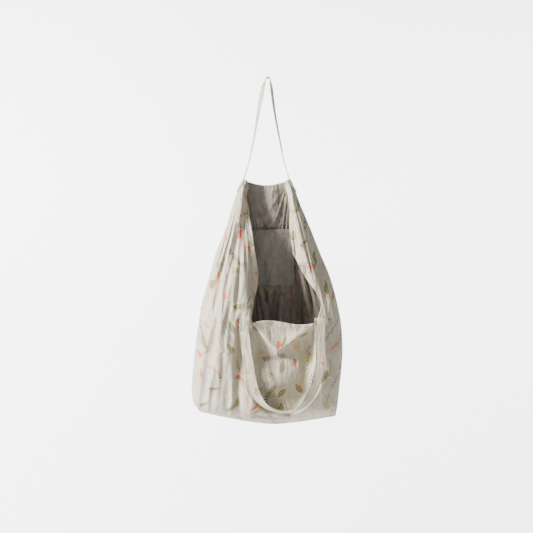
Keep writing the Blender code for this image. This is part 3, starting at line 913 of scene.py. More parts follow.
def leg_row(centre, turn, handles):
    """A row across a leg of the back handle, whose width runs from front to back, turned a little."""
    angle = math.radians(turn)
    across = Vector((math.sin(angle), math.cos(angle), 0.0))
    return [centre + across * w for w in width_steps(handles.width)]


def leg_controls(legs):
    """The chosen points of one leg, with the band's turn as a fourth value."""
    return [Vector((leg.x * BODY_WIDTH, 0.0, -leg.down * HANDLE_DROP, leg.turn)) for leg in legs]


def back_handle_rows(tree, handles):
    """Rows from the left sewn end over the hang point to the right one."""
    left = back_sewn_rows(tree, -1, handles)
    right = back_sewn_rows(tree, 1, handles)
    radius = HOOK_RADIUS + handles.thickness / 2
    bend = []
    for degrees in range(180, -1, -HOOK_BEND_STEP):
        angle = math.radians(degrees)
        bend.append(Vector((radius * math.cos(angle), 0.0, radius * math.sin(angle) - HOOK_RADIUS, 0.0)))
    ends = [row_middle(rows[-1]).to_4d() for rows in (left, right)]
    for end in ends:
        end.w = 0.0
    left_path = smooth_path([ends[0]] + leg_controls(reversed(BACK_LEFT_LEG)) + bend[:1], HANDLE_STEP)
    right_path = smooth_path(bend[-1:] + leg_controls(BACK_RIGHT_LEG) + [ends[1]], HANDLE_STEP)
    path = left_path[1:-1] + bend + right_path[1:-1]
    return left + [leg_row(point.xyz, point.w, handles) for point in path] + right[::-1]


def hanging_row(tree, centre_x, down, direction, turn, handles):
    """A flat row across the front handle at y = 0, and the y that brings it up to the cloth."""
    angle = math.radians(turn)
    along = direction.normalized()
    flat = Vector((-along.z, 0.0, along.x))
    across = flat * math.cos(angle) + Vector((0.0, math.sin(angle), 0.0))
    centre = Vector((centre_x, 0.0, -HANDLE_DROP - BODY_HEIGHT * down))
    limits = []
    places = itertools.product(width_steps(handles.width), (-0.5, 0.0, 0.5), (0.0, FRONT_HANDLE_REST))
    for offset_width, beside, lower in places:
        offset = across * offset_width
        point = centre + offset + along * (HANDLE_STEP * beside)
        start = Vector((point.x, -BODY_WIDTH, point.z - lower))
        seen, _ = seat(tree, start, Vector((0, 1, 0)), 0.0)
        if seen is not None:
            limits.append(seen.y - offset.y)
    return [centre + across * w for w in width_steps(handles.width)], min(limits)


def front_sewn_rows(tree, x_share, direction, handles):
    """Rows of the front handle's sewn end, flat on the front panel under the hem, bottom first."""
    rows = []
    for step in range(SEWN_ROWS + 1):
        down = HEM_DOWN + (SEWN_LENGTH * (1.0 - step / SEWN_ROWS) + SEWN_BELOW_RIM) / BODY_HEIGHT
        row, face = hanging_row(tree, x_share * BODY_WIDTH, down, direction, 0.0, handles)
        forward = Vector((0.0, face - SEAM_GAP - handles.thickness / 2, 0.0))
        rows.append([point + forward for point in row])
    faces = [row[0].y for row in rows]
    lowest = [min(faces[max(i - SEWN_EASE, 0) : i + SEWN_EASE + 1]) for i in range(len(rows))]
    return [[Vector((point.x, y, point.z)) for point in row] for row, y in zip(rows, lowest)]


def bend_rows(sewn_row, sideways):
    """Rows over the hem: up from the sewn end, forward and down again."""
    rows = []
    for degrees in range(0, 181, HEM_BEND_STEP):
        angle = math.radians(degrees)
        forward = FRONT_HANDLE_BEND * (math.cos(angle) - 1.0)
        rise = FRONT_HANDLE_RISE + FRONT_HANDLE_BEND * math.sin(angle)
        move = Vector((sideways * degrees / 180, forward, rise))
        rows.append([point + move for point in sewn_row])
    return rows


def eased(values, reach):
    """The values smoothed along their order, each no higher than the lowest within reach of it."""
    last = len(values) - 1
    lowest = [min(values[max(i - reach, 0) : i + reach + 1]) for i in range(last + 1)]
    around = [lowest[max(i - reach, 0) : i + reach + 1] for i in range(last + 1)]
    return [sum(part) / len(part) for part in around]


def front_handle_rows(tree, handles):
    """Rows of the handle that falls over the front hem and hangs in a U on the front panel."""
    left = front_sewn_rows(tree, FRONT_SEWN_LEFT, Vector((0, 0, -1)), handles)
    right = front_sewn_rows(tree, FRONT_SEWN_RIGHT, Vector((0, 0, 1)), handles)
    controls = []
    for hang in FRONT_PATH:
        place = (hang.x * BODY_WIDTH, 0.0, -HANDLE_DROP - BODY_HEIGHT * hang.down, hang.turn)
        controls.append(Vector(place))
    path = smooth_path(controls, HANDLE_STEP)
    hanging, faces = [], []
    for i, centre in enumerate(path):
        direction = (path[min(i + 1, len(path) - 1)] - path[max(i - 1, 0)]).xyz
        down = (-HANDLE_DROP - centre.z) / BODY_HEIGHT
        row, face = hanging_row(tree, centre.x, down, direction, centre.w, handles)
        hanging.append(row)
        faces.append(face - HANG_GAP - handles.thickness / 2)
    moved = []
    for row, y in zip(hanging, eased(faces, HANDLE_EASE)):
        moved.append([point + Vector((0.0, y, 0.0)) for point in row])
    left_bend = bend_rows(left[-1], controls[0].x - FRONT_SEWN_LEFT * BODY_WIDTH)
    right_bend = bend_rows(right[-1], controls[-1].x - FRONT_SEWN_RIGHT * BODY_WIDTH)
    return left + left_bend + moved + (right + right_bend)[::-1]


def pocket_rows(tree, pocket):
    """Rows of the patch pocket on the inside of the back, from its open top to its foot."""
    rows = []
    for row in range(POCKET_CELLS + 1):
        drop = row / POCKET_CELLS
        z = -HANDLE_DROP - pocket.top - pocket.height * drop
        level = level_at((-HANDLE_DROP - z) / BODY_HEIGHT)
        points = []
        for column in range(POCKET_CELLS + 1):
            share = column / POCKET_CELLS
            x = pocket.width * (share - 0.5) + pocket.middle
            start = Vector((x, BACK_Y - level.depth * BODY_DEPTH / 2, z))
            point, _ = seat(tree, start, Vector((0, 1, 0)), SEAM_GAP + pocket.thickness / 2)
            gape = pocket.bulge * math.sin(math.pi * share) * (1.0 - drop) ** 2
            points.append(point - Vector((0.0, gape, 0.0)))
        rows.append(points)
    return evened(rows)


def evened(rows):
    """Rows of the pocket laid over the creases behind it, in front of all of them."""
    depth = np.array([[point.y for point in row] for row in rows])
    reach = POCKET_REACH
    for combine in (np.min, np.mean):
        padded = np.pad(depth, reach, mode="edge")
        around = np.lib.stride_tricks.sliding_window_view(padded, (2 * reach + 1, 2 * reach + 1))
        depth = combine(around, axis=(2, 3))
    for row, places in zip(rows, depth):
        for point, y in zip(row, places):
            point.y = y
    return rows


def pocket_mesh(rows, pocket, stitches):
    mesh = bmesh.new()
    line_layer = mesh.verts.layers.float.new("stitch_line")
    points = np.array([[tuple(point) for point in row] for row in rows])
    shares = np.arange(POCKET_CELLS + 1) / POCKET_CELLS
    u = np.repeat(pocket.width * shares[None, :], POCKET_CELLS + 1, axis=0)
    v = np.repeat(-pocket.height * shares[:, None], POCKET_CELLS + 1, axis=1)
    places, _ = place_grid(mesh, points, u, v)
    for vert, place in places.items():
        side = min(u[place], pocket.width - u[place], pocket.height + v[place])
        top = pocket.hem_line + v[place]
        vert[line_layer] = max(stitches.inset - side, top)
    return mesh


# Stitches
def walk(points, distance):
    """The point at a distance along a run of points, and the index of the point before it."""
    for i, (start, end) in enumerate(zip(points, points[1:])):
        length = (end - start).length
        if distance <= length:
            return start.lerp(end, distance / length), i
        distance -= length
    return points[-1], len(points) - 2


def add_stitch(mesh, start, end, normal, thread):
    """One short thread that lies half sunk between two points of the cloth."""
    run = end - start
    beside = normal.cross(run).normalized()
    turn = Matrix((run.normalized(), beside, run.cross(beside).normalized())).transposed().to_4x4()
    size = Matrix.Diagonal((run.length / 2, thread / 2, thread / 2, 1.0))
    place = Matrix.Translation((start + end) / 2)
    bmesh.ops.create_icosphere(mesh, subdivisions=1, radius=1.0, matrix=place @ turn @ size)


def sew(total, points, normals, stitches):
    """A run of stitches along points of the cloth, added to the mesh of them all."""
    run = bmesh.new()
    length = sum((b - a).length for a, b in zip(points, points[1:]))
    for i in range(int(length / stitches.pitch)):
        start, index = walk(points, i * stitches.pitch)
        end, _ = walk(points, i * stitches.pitch + stitches.length)
        add_stitch(run, start, end, normals[index], stitches.thread)
    data = bpy.data.meshes.new("run")
    run.to_mesh(data)
    run.free()
    total.from_mesh(data)
    bpy.data.meshes.remove(data)


def sew_where_seen(total, tree, starts, direction, stitches):
    """Stitches where rays from the starts meet the cloth."""
    seen = [seat(tree, start, direction, stitches.thread * THREAD_LIFT) for start in starts]
    seen = [pair for pair in seen if pair[0] is not None]
    sew(total, [point for point, _ in seen], [normal for _, normal in seen], stitches)


def flap_runs(line):
    """Rays from in front onto the hem's stitch lines of both flaps."""
    runs = []
    for name, inset in (("flap_left", -line), ("flap_right", line)):
        starts = []
        for down in np.linspace(FLAP_RUN_FROM, HEM_DOWN - FLAP_RUN_SHORT, FLAP_RUN_RAYS):
            x = getattr(level_at(down), name) * BODY_WIDTH + inset
            starts.append(Vector((x, -BODY_WIDTH, -HANDLE_DROP - BODY_HEIGHT * down)))
        runs.append((starts, Vector((0, 1, 0))))
    return runs


def panel_run(line):
    """Rays from in front onto the hem's stitch line of the front panel."""
    level = level_at(HEM_DOWN)
    starts = []
    for across in np.linspace(0.0, 1.0, PANEL_RUN_RAYS):
        x = (level.flap_left + (level.flap_right - level.flap_left) * across) * BODY_WIDTH
        z = hem_wave(across, HEM_DOWN) - HANDLE_DROP - BODY_HEIGHT * HEM_DOWN - line
        starts.append(Vector((x, -BODY_WIDTH, z)))
    return starts, Vector((0, 1, 0))


def back_runs(line):
    """Rays from both sides onto the stitch line of the back rim."""
    top = level_at(line / BODY_HEIGHT)
    middle = BACK_Y - top.depth * BODY_DEPTH / 2
    runs = []
    for start_y, direction in ((middle, 1), (BODY_WIDTH, -1)):
        starts = []
        for across in np.linspace(BACK_RUN_FROM, 1.0 - BACK_RUN_FROM, BACK_RUN_RAYS):
            x = (top.left + (top.right - top.left) * across) * BODY_WIDTH
            z = -HANDLE_DROP - line - BACK_RIM_SAG * math.sin(math.pi * across)
            starts.append(Vector((x, start_y, z)))
        runs.append((starts, Vector((0, direction, 0))))
    return runs


def build_rim_stitches(tree, settings, material):
    line = settings.cloth.hem_line
    total = bmesh.new()
    for starts, direction in (*flap_runs(line), panel_run(line), *back_runs(line)):
        sew_where_seen(total, tree, starts, direction, settings.stitches)
    piece = add_object("rim_stitches", total, material)
    join_frame(piece, "printed_linen")


def row_normals(rows, column):
    """The normals of a strip of rows between one of its columns and the column before it."""
    normals = []
    for i, row in enumerate(rows):
        along = rows[min(i + 1, len(rows) - 1)][column] - rows[max(i - 1, 0)][column]
        normals.append((row[column] - row[column - 1]).cross(along).normalized())
    return normals


def inset_line(rows, share):
    """The points at a share of the width of each row."""
    place = share * (len(rows[0]) - 1)
    column = min(int(place), len(rows[0]) - 2)
    return [row[column].lerp(row[column + 1], place - column) for row in rows], column


def sew_strip(total, rows, strip, stitches, faces):
    """Stitches near both long edges of a strip of cloth, on the faces asked for."""
    inset = stitches.inset / strip.width
    for share in (inset, 1.0 - inset):
        line, column = inset_line(rows, share)
        normals = row_normals(rows, max(column, 1))
        for face in faces:
            lift = face * (strip.thickness / 2 + stitches.thread * THREAD_LIFT)
            points = [point + normal * lift for point, normal in zip(line, normals)]
            sew(total, points, [normal * face for normal in normals], stitches)


# Nodes
class Value:
    """A value that changes over the surface. Math nodes do its arithmetic."""

    def __init__(self, socket):
        self.socket = socket
        self.tree = socket.id_data

    def __add__(self, other):
        return calculate("ADD", self, other)

    def __sub__(self, other):
        return calculate("SUBTRACT", self, other)

    def __rsub__(self, other):
        return calculate("SUBTRACT", other, self)

    def __mul__(self, other):
        return calculate("MULTIPLY", self, other)

    def __truediv__(self, other):
        return calculate("DIVIDE", self, other)

    def __rtruediv__(self, other):
        return calculate("DIVIDE", other, self)

    def __lt__(self, other):
        return calculate("LESS_THAN", self, other)

    def __gt__(self, other):
        return calculate("GREATER_THAN", self, other)

    def __abs__(self):
        return calculate("ABSOLUTE", self)


def feed(socket, value):
    """Links a socket to a Value, and sets it to a plain number, vector or colour."""
    if isinstance(value, Value):
        value.tree.links.new(value.socket, socket)
    else:
        socket.default_value = value


def add_node(tree, kind, inputs=None, **properties):
    """A new node, with its properties set and its inputs fed, each by its name or its place."""
    node = tree.nodes.new(kind)
    for name, value in properties.items():
        setattr(node, name, value)
    for key, value in (inputs or {}).items():
        feed(node.inputs[key], value)
    return node


def calculate(operation, *values):
    """The result of one Math node. At least one of the values is a Value."""
    tree = next(value.tree for value in values if isinstance(value, Value))
    node = add_node(tree, "ShaderNodeMath", dict(enumerate(values)), operation=operation)
    return Value(node.outputs["Value"])


def vector_math(operation, first, second):
    key = "Scale" if operation == "SCALE" else 1
    inputs = {0: first, key: second}
    node = add_node(first.tree, "ShaderNodeVectorMath", inputs, operation=operation)
    return Value(node.outputs["Vector"])


def parts(vector):
    """The X and the Y of a vector."""
    node = add_node(vector.tree, "ShaderNodeSeparateXYZ", {"Vector": vector})
    return Value(node.outputs["X"]), Value(node.outputs["Y"])


def mix_colour(share, first, second):
    inputs = {"Factor": share, MIX_FIRST: first, MIX_SECOND: second}
    node = add_node(share.tree, "ShaderNodeMix", inputs, data_type="RGBA")
    return Value(node.outputs[MIX_RESULT])


def rise(value, start, end):
    """0 up to start, then smoothly to 1 at end."""
    inputs = {"Value": value, "From Min": start, "From Max": end}
    node = add_node(value.tree, "ShaderNodeMapRange", inputs, interpolation_type="SMOOTHSTEP")
    return Value(node.outputs["Result"])


def cloth_noise(place, scale_x, scale_y, detail=2.0):
    """Noise from 0 to 1 over the cloth, scaled by itself in each of its two directions."""
    inputs = {"Vector": place, "Scale": (scale_x, scale_y, 1.0)}
    scaled = Value(add_node(place.tree, "ShaderNodeMapping", inputs).outputs["Vector"])
    inputs = {"Vector": scaled, "Scale": 1.0, "Detail": detail}
    node = add_node(place.tree, "ShaderNodeTexNoise", inputs, noise_dimensions="2D")
    return Value(node.outputs["Fac"])


def new_group(name, inputs, outputs):
    """A node group with named sockets, and the values of its inputs."""
    tree = bpy.data.node_groups.new(name, "ShaderNodeTree")
    for label, kind, default in inputs:
        socket = tree.interface.new_socket(name=label, in_out="INPUT", socket_type=kind)
        if default is not None:
            socket.default_value = default
    for label, kind in outputs:
        tree.interface.new_socket(name=label, in_out="OUTPUT", socket_type=kind)
    given = tree.nodes.new("NodeGroupInput").outputs
    return tree, {socket.name: Value(socket) for socket in given}


def put_out(tree, **values):
    """Feeds the outputs of a group, by their names."""
    add_node(tree, "NodeGroupOutput", values)


def use_group(tree, name, **values):
    """A group's outputs, with underscores in the names of the inputs that are given."""
    inputs = {label.replace("_", " "): value for label, value in values.items()}
    node = add_node(tree, "ShaderNodeGroup", inputs, node_tree=bpy.data.node_groups[name])
    return {socket.name: Value(socket) for socket in node.outputs}


# Print
def scattered(tree, given):
    """Local coordinates in metres of the scattered cell round each point, and its random values."""
    moved = vector_math("SCALE", given["Vector"], given["Cells Per Metre"])
    moved = vector_math("ADD", moved, given["Shift"])
    inputs = {"Vector": moved, "Scale": 1.0, "Randomness": CELL_RANDOMNESS}
    cells = add_node(tree, "ShaderNodeTexVoronoi", inputs, voronoi_dimensions="2D").outputs
    local = vector_math("SUBTRACT", moved, Value(cells["Position"]))
    local = vector_math("SCALE", local, 1.0 / given["Cells Per Metre"])
    random = add_node(tree, "ShaderNodeSeparateColor", {"Color": Value(cells["Color"])}).outputs
    inputs = {"Vector": local, "Angle": Value(random["Red"]) * math.tau}
    turned = add_node(tree, "ShaderNodeVectorRotate", inputs, rotation_type="Z_AXIS").outputs
    x, y = parts(Value(turned["Vector"]))
    present = Value(random["Green"]) < given["Share"]
    return x, y, present, Value(random["Blue"])


def leaf(x, y, given):
    """A leaf with a midrib and side veins."""
    along = x / (given["Length"] * 0.5)
    squared = along * along
    off_rib = abs(y - squared * (given["Pick"] * LEAF_BEND - LEAF_BEND / 2))
    outline = (1.0 - squared) * (1.0 - along * LEAF_TAPER) * (given["Width"] * 0.5)
    rib = 1.0 - rise(off_rib, *RIB_EDGE)
    waves = calculate("SINE", along * VEIN_WAVES - off_rib * VEIN_SLANT)
    vein = calculate("MAXIMUM", rib, rise(waves, *VEIN_EDGE) * VEIN_STRENGTH)
    return rise(outline - off_rib, 0.0, LEAF_EDGE), vein


def twig(x, y, given):
    """A bent twig with small slanted leaflets on both sides."""
    along = x / (given["Length"] * 0.5)
    off = y - along * along * TWIG_BEND
    apart = abs(off)
    stem = 1.0 - rise(apart, *STEM_EDGE)
    slid = x - apart * LEAFLET_SLANT + calculate("SIGN", off) * LEAFLET_STAGGER
    step = abs(calculate("FRACT", slid / LEAFLET_PITCH) - 0.5)
    outward = apart / (given["Width"] * 0.5)
    leaflet = rise(outward * (1.0 - outward) - step, 0.0, LEAFLET_EDGE)
    return calculate("MAXIMUM", stem, leaflet) * (abs(along) < 1.0), 0.0


def blades(x, y, given):
    """A tuft of long thin blades that spread from one end."""
    start = x + given["Length"] * 0.5
    reach = start / given["Length"]
    angle = calculate("ARCTAN2", y - reach * reach * BLADE_DROOP, start)
    off = abs(calculate("FRACT", angle * BLADES_PER_RADIAN) - 0.5) * start
    thin = (1.0 - reach) * given["Width"]
    inside = (abs(angle) < BLADE_SPREAD) * (reach > 0.0)
    return rise(thin - off, 0.0, BLADE_EDGE) * inside, 0.0


def berries(x, y, given):
    """A small cluster of round berries. Length is the cluster's width and Width is a berry's."""
    near = calculate("SQRT", x * x + y * y) < given["Length"] * 0.5
    scale = BERRY_CELLS / given["Width"]
    inputs = {"Vector": given["Vector"], "Scale": scale, "Randomness": BERRY_RANDOMNESS}
    cells = add_node(x.tree, "ShaderNodeTexVoronoi", inputs, voronoi_dimensions="2D").outputs
    return (1.0 - rise(Value(cells["Distance"]), *BERRY_EDGE)) * near, 0.0


MOTIFS = {
    "Leaf Scatter": leaf,
    "Twig Scatter": twig,
    "Blade Scatter": blades,
    "Berry Scatter": berries,
}
SCATTER_INPUTS = (
    ("Vector", VECTOR, None),
    ("Cells Per Metre", FLOAT, 14.0),
    ("Shift", VECTOR, None),
    ("Share", FLOAT, 0.5),
    ("Length", FLOAT, 0.036),
    ("Width", FLOAT, 0.014),
)


def make_scatter_group(name, motif):
    """A motif in scattered places, as its shape, its veins and a random value that picks its colour."""
    outputs = (("Shape", FLOAT), ("Vein", FLOAT), ("Pick", FLOAT))
    tree, given = new_group(name, SCATTER_INPUTS, outputs)
    x, y, present, pick = scattered(tree, given)
    shape, vein = motif(x, y, {**given, "Pick": pick})
    put_out(tree, Shape=shape * present, Vein=vein, Pick=pick)


def picked_colour(pick, colours):
    """One of the colours, by a random value from 0 to 1."""
    node = add_node(pick.tree, "ShaderNodeValToRGB", {"Fac": pick})
    ramp = node.color_ramp
    ramp.interpolation = "CONSTANT"
    while len(ramp.elements) < len(colours):
        ramp.elements.new(1.0)
    for i, colour in enumerate(colours):
        ramp.elements[i].position = i / len(colours)
        ramp.elements[i].color = colour
    return Value(node.outputs["Color"])


def make_print_group():
    """All layers of the print, as a colour and the ink's strength."""
    outputs = (("Colour", COLOUR), ("Ink", FLOAT))
    tree, given = new_group("Botanical Print", (("Vector", VECTOR, None),), outputs)
    place = given["Vector"]
    colour, ink = STRAW, 0.0
    for layer in PRINT_LAYERS:
        motif = use_group(
            tree,
            layer.group,
            Vector=place,
            Cells_Per_Metre=layer.cells,
            Shift=layer.shift,
            Share=layer.share,
            Length=layer.length,
            Width=layer.width,
        )
        inked = mix_colour(motif["Vein"], picked_colour(motif["Pick"], layer.colours), STRAW)
        colour = mix_colour(motif["Shape"], colour, inked)
        ink = calculate("MAXIMUM", ink, motif["Shape"] * layer.ink)
    patchy = cloth_noise(place, PATCH_SCALE, PATCH_SCALE) * PATCH_SPAN + PATCH_FAINTEST
    put_out(tree, Colour=colour, Ink=ink * calculate("MINIMUM", patchy, 1.0))


# Cloth
def make_weave_group():
    """Plain linen weave with thick and thin threads, as a height and a tone."""
    inputs = (("Vector", VECTOR, None), ("Threads Per Metre", FLOAT, 1000.0))
    tree, given = new_group("Linen Weave", inputs, (("Height", FLOAT), ("Tone", FLOAT)))
    place = given["Vector"]
    scaled = parts(vector_math("SCALE", place, given["Threads Per Metre"]))
    wave_x, wave_y = (calculate("SINE", part * math.pi) for part in scaled)
    over = calculate("SIGN", wave_x * wave_y)
    warp, weft = (abs(wave) * THREAD_HEIGHT for wave in (wave_x, wave_y))
    threads = warp + weft + (warp - weft) * over
    warp_slub = cloth_noise(place, SLUB_ACROSS, SLUB_ALONG)
    weft_slub = cloth_noise(place, SLUB_ALONG, SLUB_ACROSS)
    slub = (warp_slub + weft_slub) * 0.5
    put_out(tree, Height=threads + slub * SLUB_HEIGHT, Tone=rise(slub, *SLUB_EDGE))


def make_crease_group():
    """Fine soft creases of washed linen, mostly lengthwise, as a height."""
    tree, given = new_group("Washed Creases", (("Vector", VECTOR, None),), (("Height", FLOAT),))
    long_creases = cloth_noise(given["Vector"], *LONG_CREASE_SCALE, detail=3.0)
    cross_creases = cloth_noise(given["Vector"], *CROSS_CREASE_SCALE)
    ridge = 1.0 - abs(long_creases - 0.5) * RIDGE_SHARPNESS
    put_out(tree, Height=ridge + cross_creases * CROSS_CREASE_HEIGHT)


def make_seam_group():
    """The dip and pucker along a row of stitches, and the raised cloth on its hem side, as a height."""
    inputs = (("Distance", FLOAT, 0.0), ("Vector", VECTOR, None))
    tree, given = new_group("Seam Relief", inputs, (("Height", FLOAT),))
    distance = given["Distance"]
    off = distance / DIP_WIDTH
    dip = calculate("EXPONENT", off * off * -1.0)
    pucker = cloth_noise(given["Vector"], PUCKER_SCALE, PUCKER_SCALE)
    near = 1.0 - rise(abs(distance), 0.0, PUCKER_REACH)
    raised = rise(distance, *HEM_STEP)
    put_out(tree, Height=pucker * near * PUCKER_HEIGHT + raised - dip)


def attribute(tree, name):
    return Value(add_node(tree, "ShaderNodeAttribute", attribute_name=name).outputs["Fac"])


def add_bump(height, bump, normal=None):
    """A normal bent by a height, on top of another normal if one is given."""
    inputs = {"Height": height, "Distance": bump.distance, "Strength": bump.strength}
    if normal is not None:
        inputs["Normal"] = normal
    return Value(add_node(height.tree, "ShaderNodeBump", inputs).outputs["Normal"])


def new_material(name):
    """A new material with its node tree and its shader's inputs."""
    material = bpy.data.materials.new(name)
    material.use_nodes = True
    tree = material.node_tree
    return material, tree, tree.nodes["Principled BSDF"].inputs


def linen_material(name, light, dark, print_strength):
    """Woven linen between two tones, with the print at a strength from 0 to 1."""
    material, tree, shader = new_material(name)
    place = Value(add_node(tree, "ShaderNodeUVMap", uv_map="UVMap").outputs["UV"])
    weave = use_group(tree, "Linen Weave", Vector=place)
    cloud = rise(cloth_noise(place, CLOUD_SCALE, CLOUD_SCALE, detail=3.0), *CLOUD_EDGE)
    tone = cloud * CLOUD_SHARE + weave["Tone"] * (1.0 - CLOUD_SHARE)
    colour = mix_colour(tone, dark, light)
    if print_strength > 0.0:
        printed = use_group(tree, "Botanical Print", Vector=place)
        colour = mix_colour(printed["Ink"] * print_strength, colour, printed["Colour"])
    feed(shader["Base Color"], colour)
    feed(shader["Roughness"], weave["Tone"] * THREAD_ROUGHENING + LINEN_ROUGHNESS)
    feed(shader["Specular IOR Level"], LINEN_SPECULAR)
    feed(shader["Sheen Weight"], LINEN_SHEEN)
    creases = use_group(tree, "Washed Creases", Vector=place)
    normal = add_bump(creases["Height"], CREASE_BUMP)
    for line in ("stitch_line", "side_seam"):
        seam = use_group(tree, "Seam Relief", Vector=place, Distance=attribute(tree, line))
        normal = add_bump(seam["Height"], SEAM_BUMP, normal)
    feed(shader["Normal"], add_bump(weave["Height"], WEAVE_BUMP, normal))
    return material


def thread_material(name):
    """The pale twisted thread of the stitches."""
    material, tree, shader = new_material(name)
    place = Value(add_node(tree, "ShaderNodeTexCoord").outputs["Object"])
    inputs = {"Vector": place, "Scale": FIBRE_SCALE}
    fibres = Value(add_node(tree, "ShaderNodeTexNoise", inputs).outputs["Fac"])
    feed(shader["Base Color"], mix_colour(fibres, LINEN_DARK, LINEN))
    feed(shader["Roughness"], THREAD_ROUGHNESS)
    feed(shader["Normal"], add_bump(fibres, FIBRE_BUMP))
    return material


# Light and dark tone of each linen, and the strength of its print. The reverse and the pocket carry painted
# shade of the bag's inside in their darker tones.
LINENS = {
    "linen_face": (LINEN, LINEN_DARK, 1.0),
    "linen_reverse": (SHADED_REVERSE_LINEN, SHADED_PLAIN_LINEN_DARK, 0.45),
    "linen_pocket": (SHADED_PLAIN_LINEN, SHADED_PLAIN_LINEN_DARK, 0.0),
}


def make_groups():
    for name, motif in MOTIFS.items():
        make_scatter_group(name, motif)
    for make in (make_print_group, make_weave_group, make_crease_group, make_seam_group):
        make()


def cloth_material(name):
    """A named material of this bag, made on first use."""
    if "Linen Weave" not in bpy.data.node_groups:
        make_groups()
    if name in bpy.data.materials:
        return bpy.data.materials[name]
    if name in LINENS:
        return linen_material(name, *LINENS[name])
    return thread_material(name)


# Stage
def sweep_point(x, length):
    """A point of the floor, which bends up into the backdrop behind."""
    flat = BACKDROP_Y - SWEEP_BEND
    if length <= flat:
        return Vector((x, length, FLOOR_Z))
    turned = min((length - flat) / SWEEP_BEND, math.pi / 2)
    beyond = max(length - flat - SWEEP_BEND * math.pi / 2, 0.0)
    y = flat + SWEEP_BEND * math.sin(turned)
    return Vector((x, y, FLOOR_Z + SWEEP_BEND * (1.0 - math.cos(turned)) + beyond))


def build_floor(stage):
    mesh = bmesh.new()
    made = bmesh.ops.create_grid(mesh, x_segments=2, y_segments=stage.floor_steps, size=0.5)
    for vert in made["verts"]:
        vert.co = sweep_point(vert.co.x * FLOOR_SIZE, vert.co.y * FLOOR_SIZE)
    material, _, shader = new_material("pale_floor")
    feed(shader["Base Color"], FLOOR_COLOUR)
    feed(shader["Roughness"], FLOOR_ROUGHNESS)
    floor = add_object("pale_sweep", mesh, material)


def add_area_light(name, place, target, size, power):
    light = bpy.data.lights.new(name, "AREA")
    light.shape = "DISK"
    light.size = size
    light.energy = power
    obj = bpy.data.objects.new(name, light)
    bpy.context.scene.collection.objects.link(obj)
    obj.location = place
    obj.rotation_euler = (target - place).to_track_quat("-Z", "Y").to_euler()


def build_lights(stage):
    """The key and fill lights on the bag, one light on each side of the backdrop, and the even light."""
    centre = Vector((stage.view_x, 0.0, stage.view_z))
    add_area_light("key", Vector(KEY_PLACE), centre, KEY_SIZE, stage.key_power)
    add_area_light("fill", Vector(FILL_PLACE), centre, FILL_SIZE, stage.fill_power)
    for side, share in ((-1, BACKDROP_LEFT_SHARE), (1, BACKDROP_RIGHT_SHARE)):
        mirrored = Vector((side, 1.0, 1.0))
        place, target = Vector(BACKDROP_LIGHT_PLACE) * mirrored, Vector(BACKDROP_TARGET) * mirrored
        add_area_light("backdrop", place, target, BACKDROP_LIGHT_SIZE, stage.backdrop_power * share)
    world = bpy.data.worlds.new("even_light")
    bpy.context.scene.world = world
    world.use_nodes = True
    background = world.node_tree.nodes["Background"].inputs
    feed(background["Color"], SKY_COLOUR)
    feed(background["Strength"], stage.sky)


def build_camera(stage):
    camera = bpy.data.cameras.new("camera")
    camera.sensor_width = SENSOR_WIDTH
    camera.lens = camera.sensor_width * stage.distance / stage.view_width
    camera.clip_end = CLIP_END
    obj = bpy.data.objects.new("camera", camera)
    bpy.context.scene.collection.objects.link(obj)
    obj.location = (stage.view_x, -stage.distance, stage.view_z)
    obj.rotation_euler = (math.pi / 2, 0.0, 0.0)
    bpy.context.scene.camera = obj


# Operators
def sack_tree():
    """The search tree of the finished sack, which the other pieces are seated on."""
    if "bag_cloth" not in bpy.data.objects:
        raise RuntimeError("build the sack first")
    bpy.context.view_layer.update()
    return BVHTree.FromObject(bpy.data.objects["bag_cloth"], bpy.context.evaluated_depsgraph_get())


class LINENBAG_OT_sack(bpy.types.Operator):
    """Build the sack with its hem, folds and creases"""

    bl_idname = "linenbag.sack"
    bl_label = "Sack"

    def execute(self, context):
        # The second material is the reverse linen, darkened with painted shade of the bag's inside
        materials = [cloth_material(name) for name in ("linen_face", "linen_reverse")]
        build_sack(context.scene.linenbag_cloth, materials)
        return {"FINISHED"}


class Settings:
    """The settings of the scene, under short names."""

    def __init__(self, scene):
        self.cloth = scene.linenbag_cloth
        self.handles = scene.linenbag_handles
        self.pocket = scene.linenbag_pocket
        self.stitches = scene.linenbag_stitches


class LINENBAG_OT_handles(bpy.types.Operator):
    """Build the back handle that the bag hangs from and the front handle that hangs in a U"""

    bl_idname = "linenbag.handles"
    bl_label = "Handles"

    def execute(self, context):
        settings = Settings(context.scene)
        tree = sack_tree()
        cloth, thread = cloth_material("linen_face"), cloth_material("linen_thread")
        bands = (
            ("back_handle", back_handle_rows, BACK_HANDLE_PRINT_SHIFT, "stretched"),
            ("front_handle", front_handle_rows, FRONT_HANDLE_PRINT_SHIFT, "hung"),
        )
        for node, find_rows, offset, held in bands:
            rows = find_rows(tree, settings.handles)
            build_band(node, rows, settings, cloth, offset)
            total = bmesh.new()
            sew_strip(total, rows, settings.handles, settings.stitches, (-1, 1))
            stitches = add_object(f"{node}_stitches", total, thread)
            join_frame(stitches, "printed_linen")
        return {"FINISHED"}


class LINENBAG_OT_pocket(bpy.types.Operator):
    """Build the patch pocket on the inside of the back"""

    bl_idname = "linenbag.pocket"
    bl_label = "Pocket"

    def execute(self, context):
        settings = Settings(context.scene)
        pocket = settings.pocket
        rows = pocket_rows(sack_tree(), pocket)
        mesh = pocket_mesh(rows, pocket, settings.stitches)
        # The pocket's plain linen is darkened with painted shade of the bag's inside
        patch = add_object("inner_pocket_patch", mesh, cloth_material("linen_pocket"))
        add_wall(patch, pocket.thickness, 0.0)
        join_frame(patch, "plain_linen", "inner_pocket")
        total = bmesh.new()
        sew_strip(total, rows, pocket, settings.stitches, (-1,))
        stitches = add_object("pocket_stitches", total, cloth_material("linen_thread"))
        join_frame(stitches, "plain_linen")
        return {"FINISHED"}


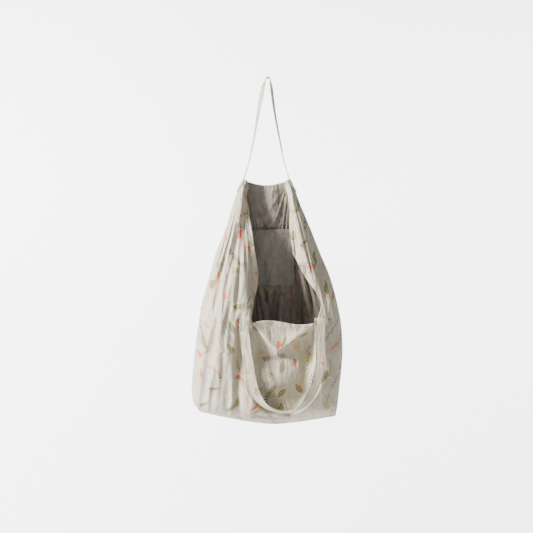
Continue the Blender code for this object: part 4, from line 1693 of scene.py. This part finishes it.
class LINENBAG_OT_stitches(bpy.types.Operator):
    """Build the stitches of the hem round the mouth"""

    bl_idname = "linenbag.stitches"
    bl_label = "Hem Stitches"

    def execute(self, context):
        build_rim_stitches(sack_tree(), Settings(context.scene), cloth_material("linen_thread"))
        return {"FINISHED"}


class LINENBAG_OT_stage(bpy.types.Operator):
    """Set up the floor, the lights and the camera"""

    bl_idname = "linenbag.stage"
    bl_label = "Stage"

    def execute(self, context):
        stage = context.scene.linenbag_stage
        build_floor(stage)
        build_lights(stage)
        build_camera(stage)
        return {"FINISHED"}


class LINENBAG_PT_panel(bpy.types.Panel):
    """The steps that build the bag, in order"""

    bl_idname = "LINENBAG_PT_panel"
    bl_label = "Linen Bag"
    bl_space_type = "VIEW_3D"
    bl_region_type = "UI"
    bl_category = "Linen Bag"

    def draw(self, context):
        for operator in STEPS:
            self.layout.operator(operator.bl_idname)


STEPS = (
    LINENBAG_OT_sack,
    LINENBAG_OT_handles,
    LINENBAG_OT_pocket,
    LINENBAG_OT_stitches,
    LINENBAG_OT_stage,
)
SETTINGS = {
    "linenbag_cloth": LINENBAG_PG_cloth,
    "linenbag_handles": LINENBAG_PG_handles,
    "linenbag_pocket": LINENBAG_PG_pocket,
    "linenbag_stitches": LINENBAG_PG_stitches,
    "linenbag_stage": LINENBAG_PG_stage,
}


def register():
    for kind in (*SETTINGS.values(), *STEPS, LINENBAG_PT_panel):
        bpy.utils.register_class(kind)
    for name, kind in SETTINGS.items():
        setattr(bpy.types.Scene, name, PointerProperty(type=kind))


def unregister():
    for name in SETTINGS:
        delattr(bpy.types.Scene, name)
    for kind in reversed((*SETTINGS.values(), *STEPS, LINENBAG_PT_panel)):
        bpy.utils.unregister_class(kind)


def main():
    register()
    for step in (
        bpy.ops.linenbag.sack,
        bpy.ops.linenbag.handles,
        bpy.ops.linenbag.pocket,
        bpy.ops.linenbag.stitches,
        bpy.ops.linenbag.stage,
    ):
        if step() != {"FINISHED"}:
            raise RuntimeError("a step did not finish")


if __name__ == "__main__":
    main()
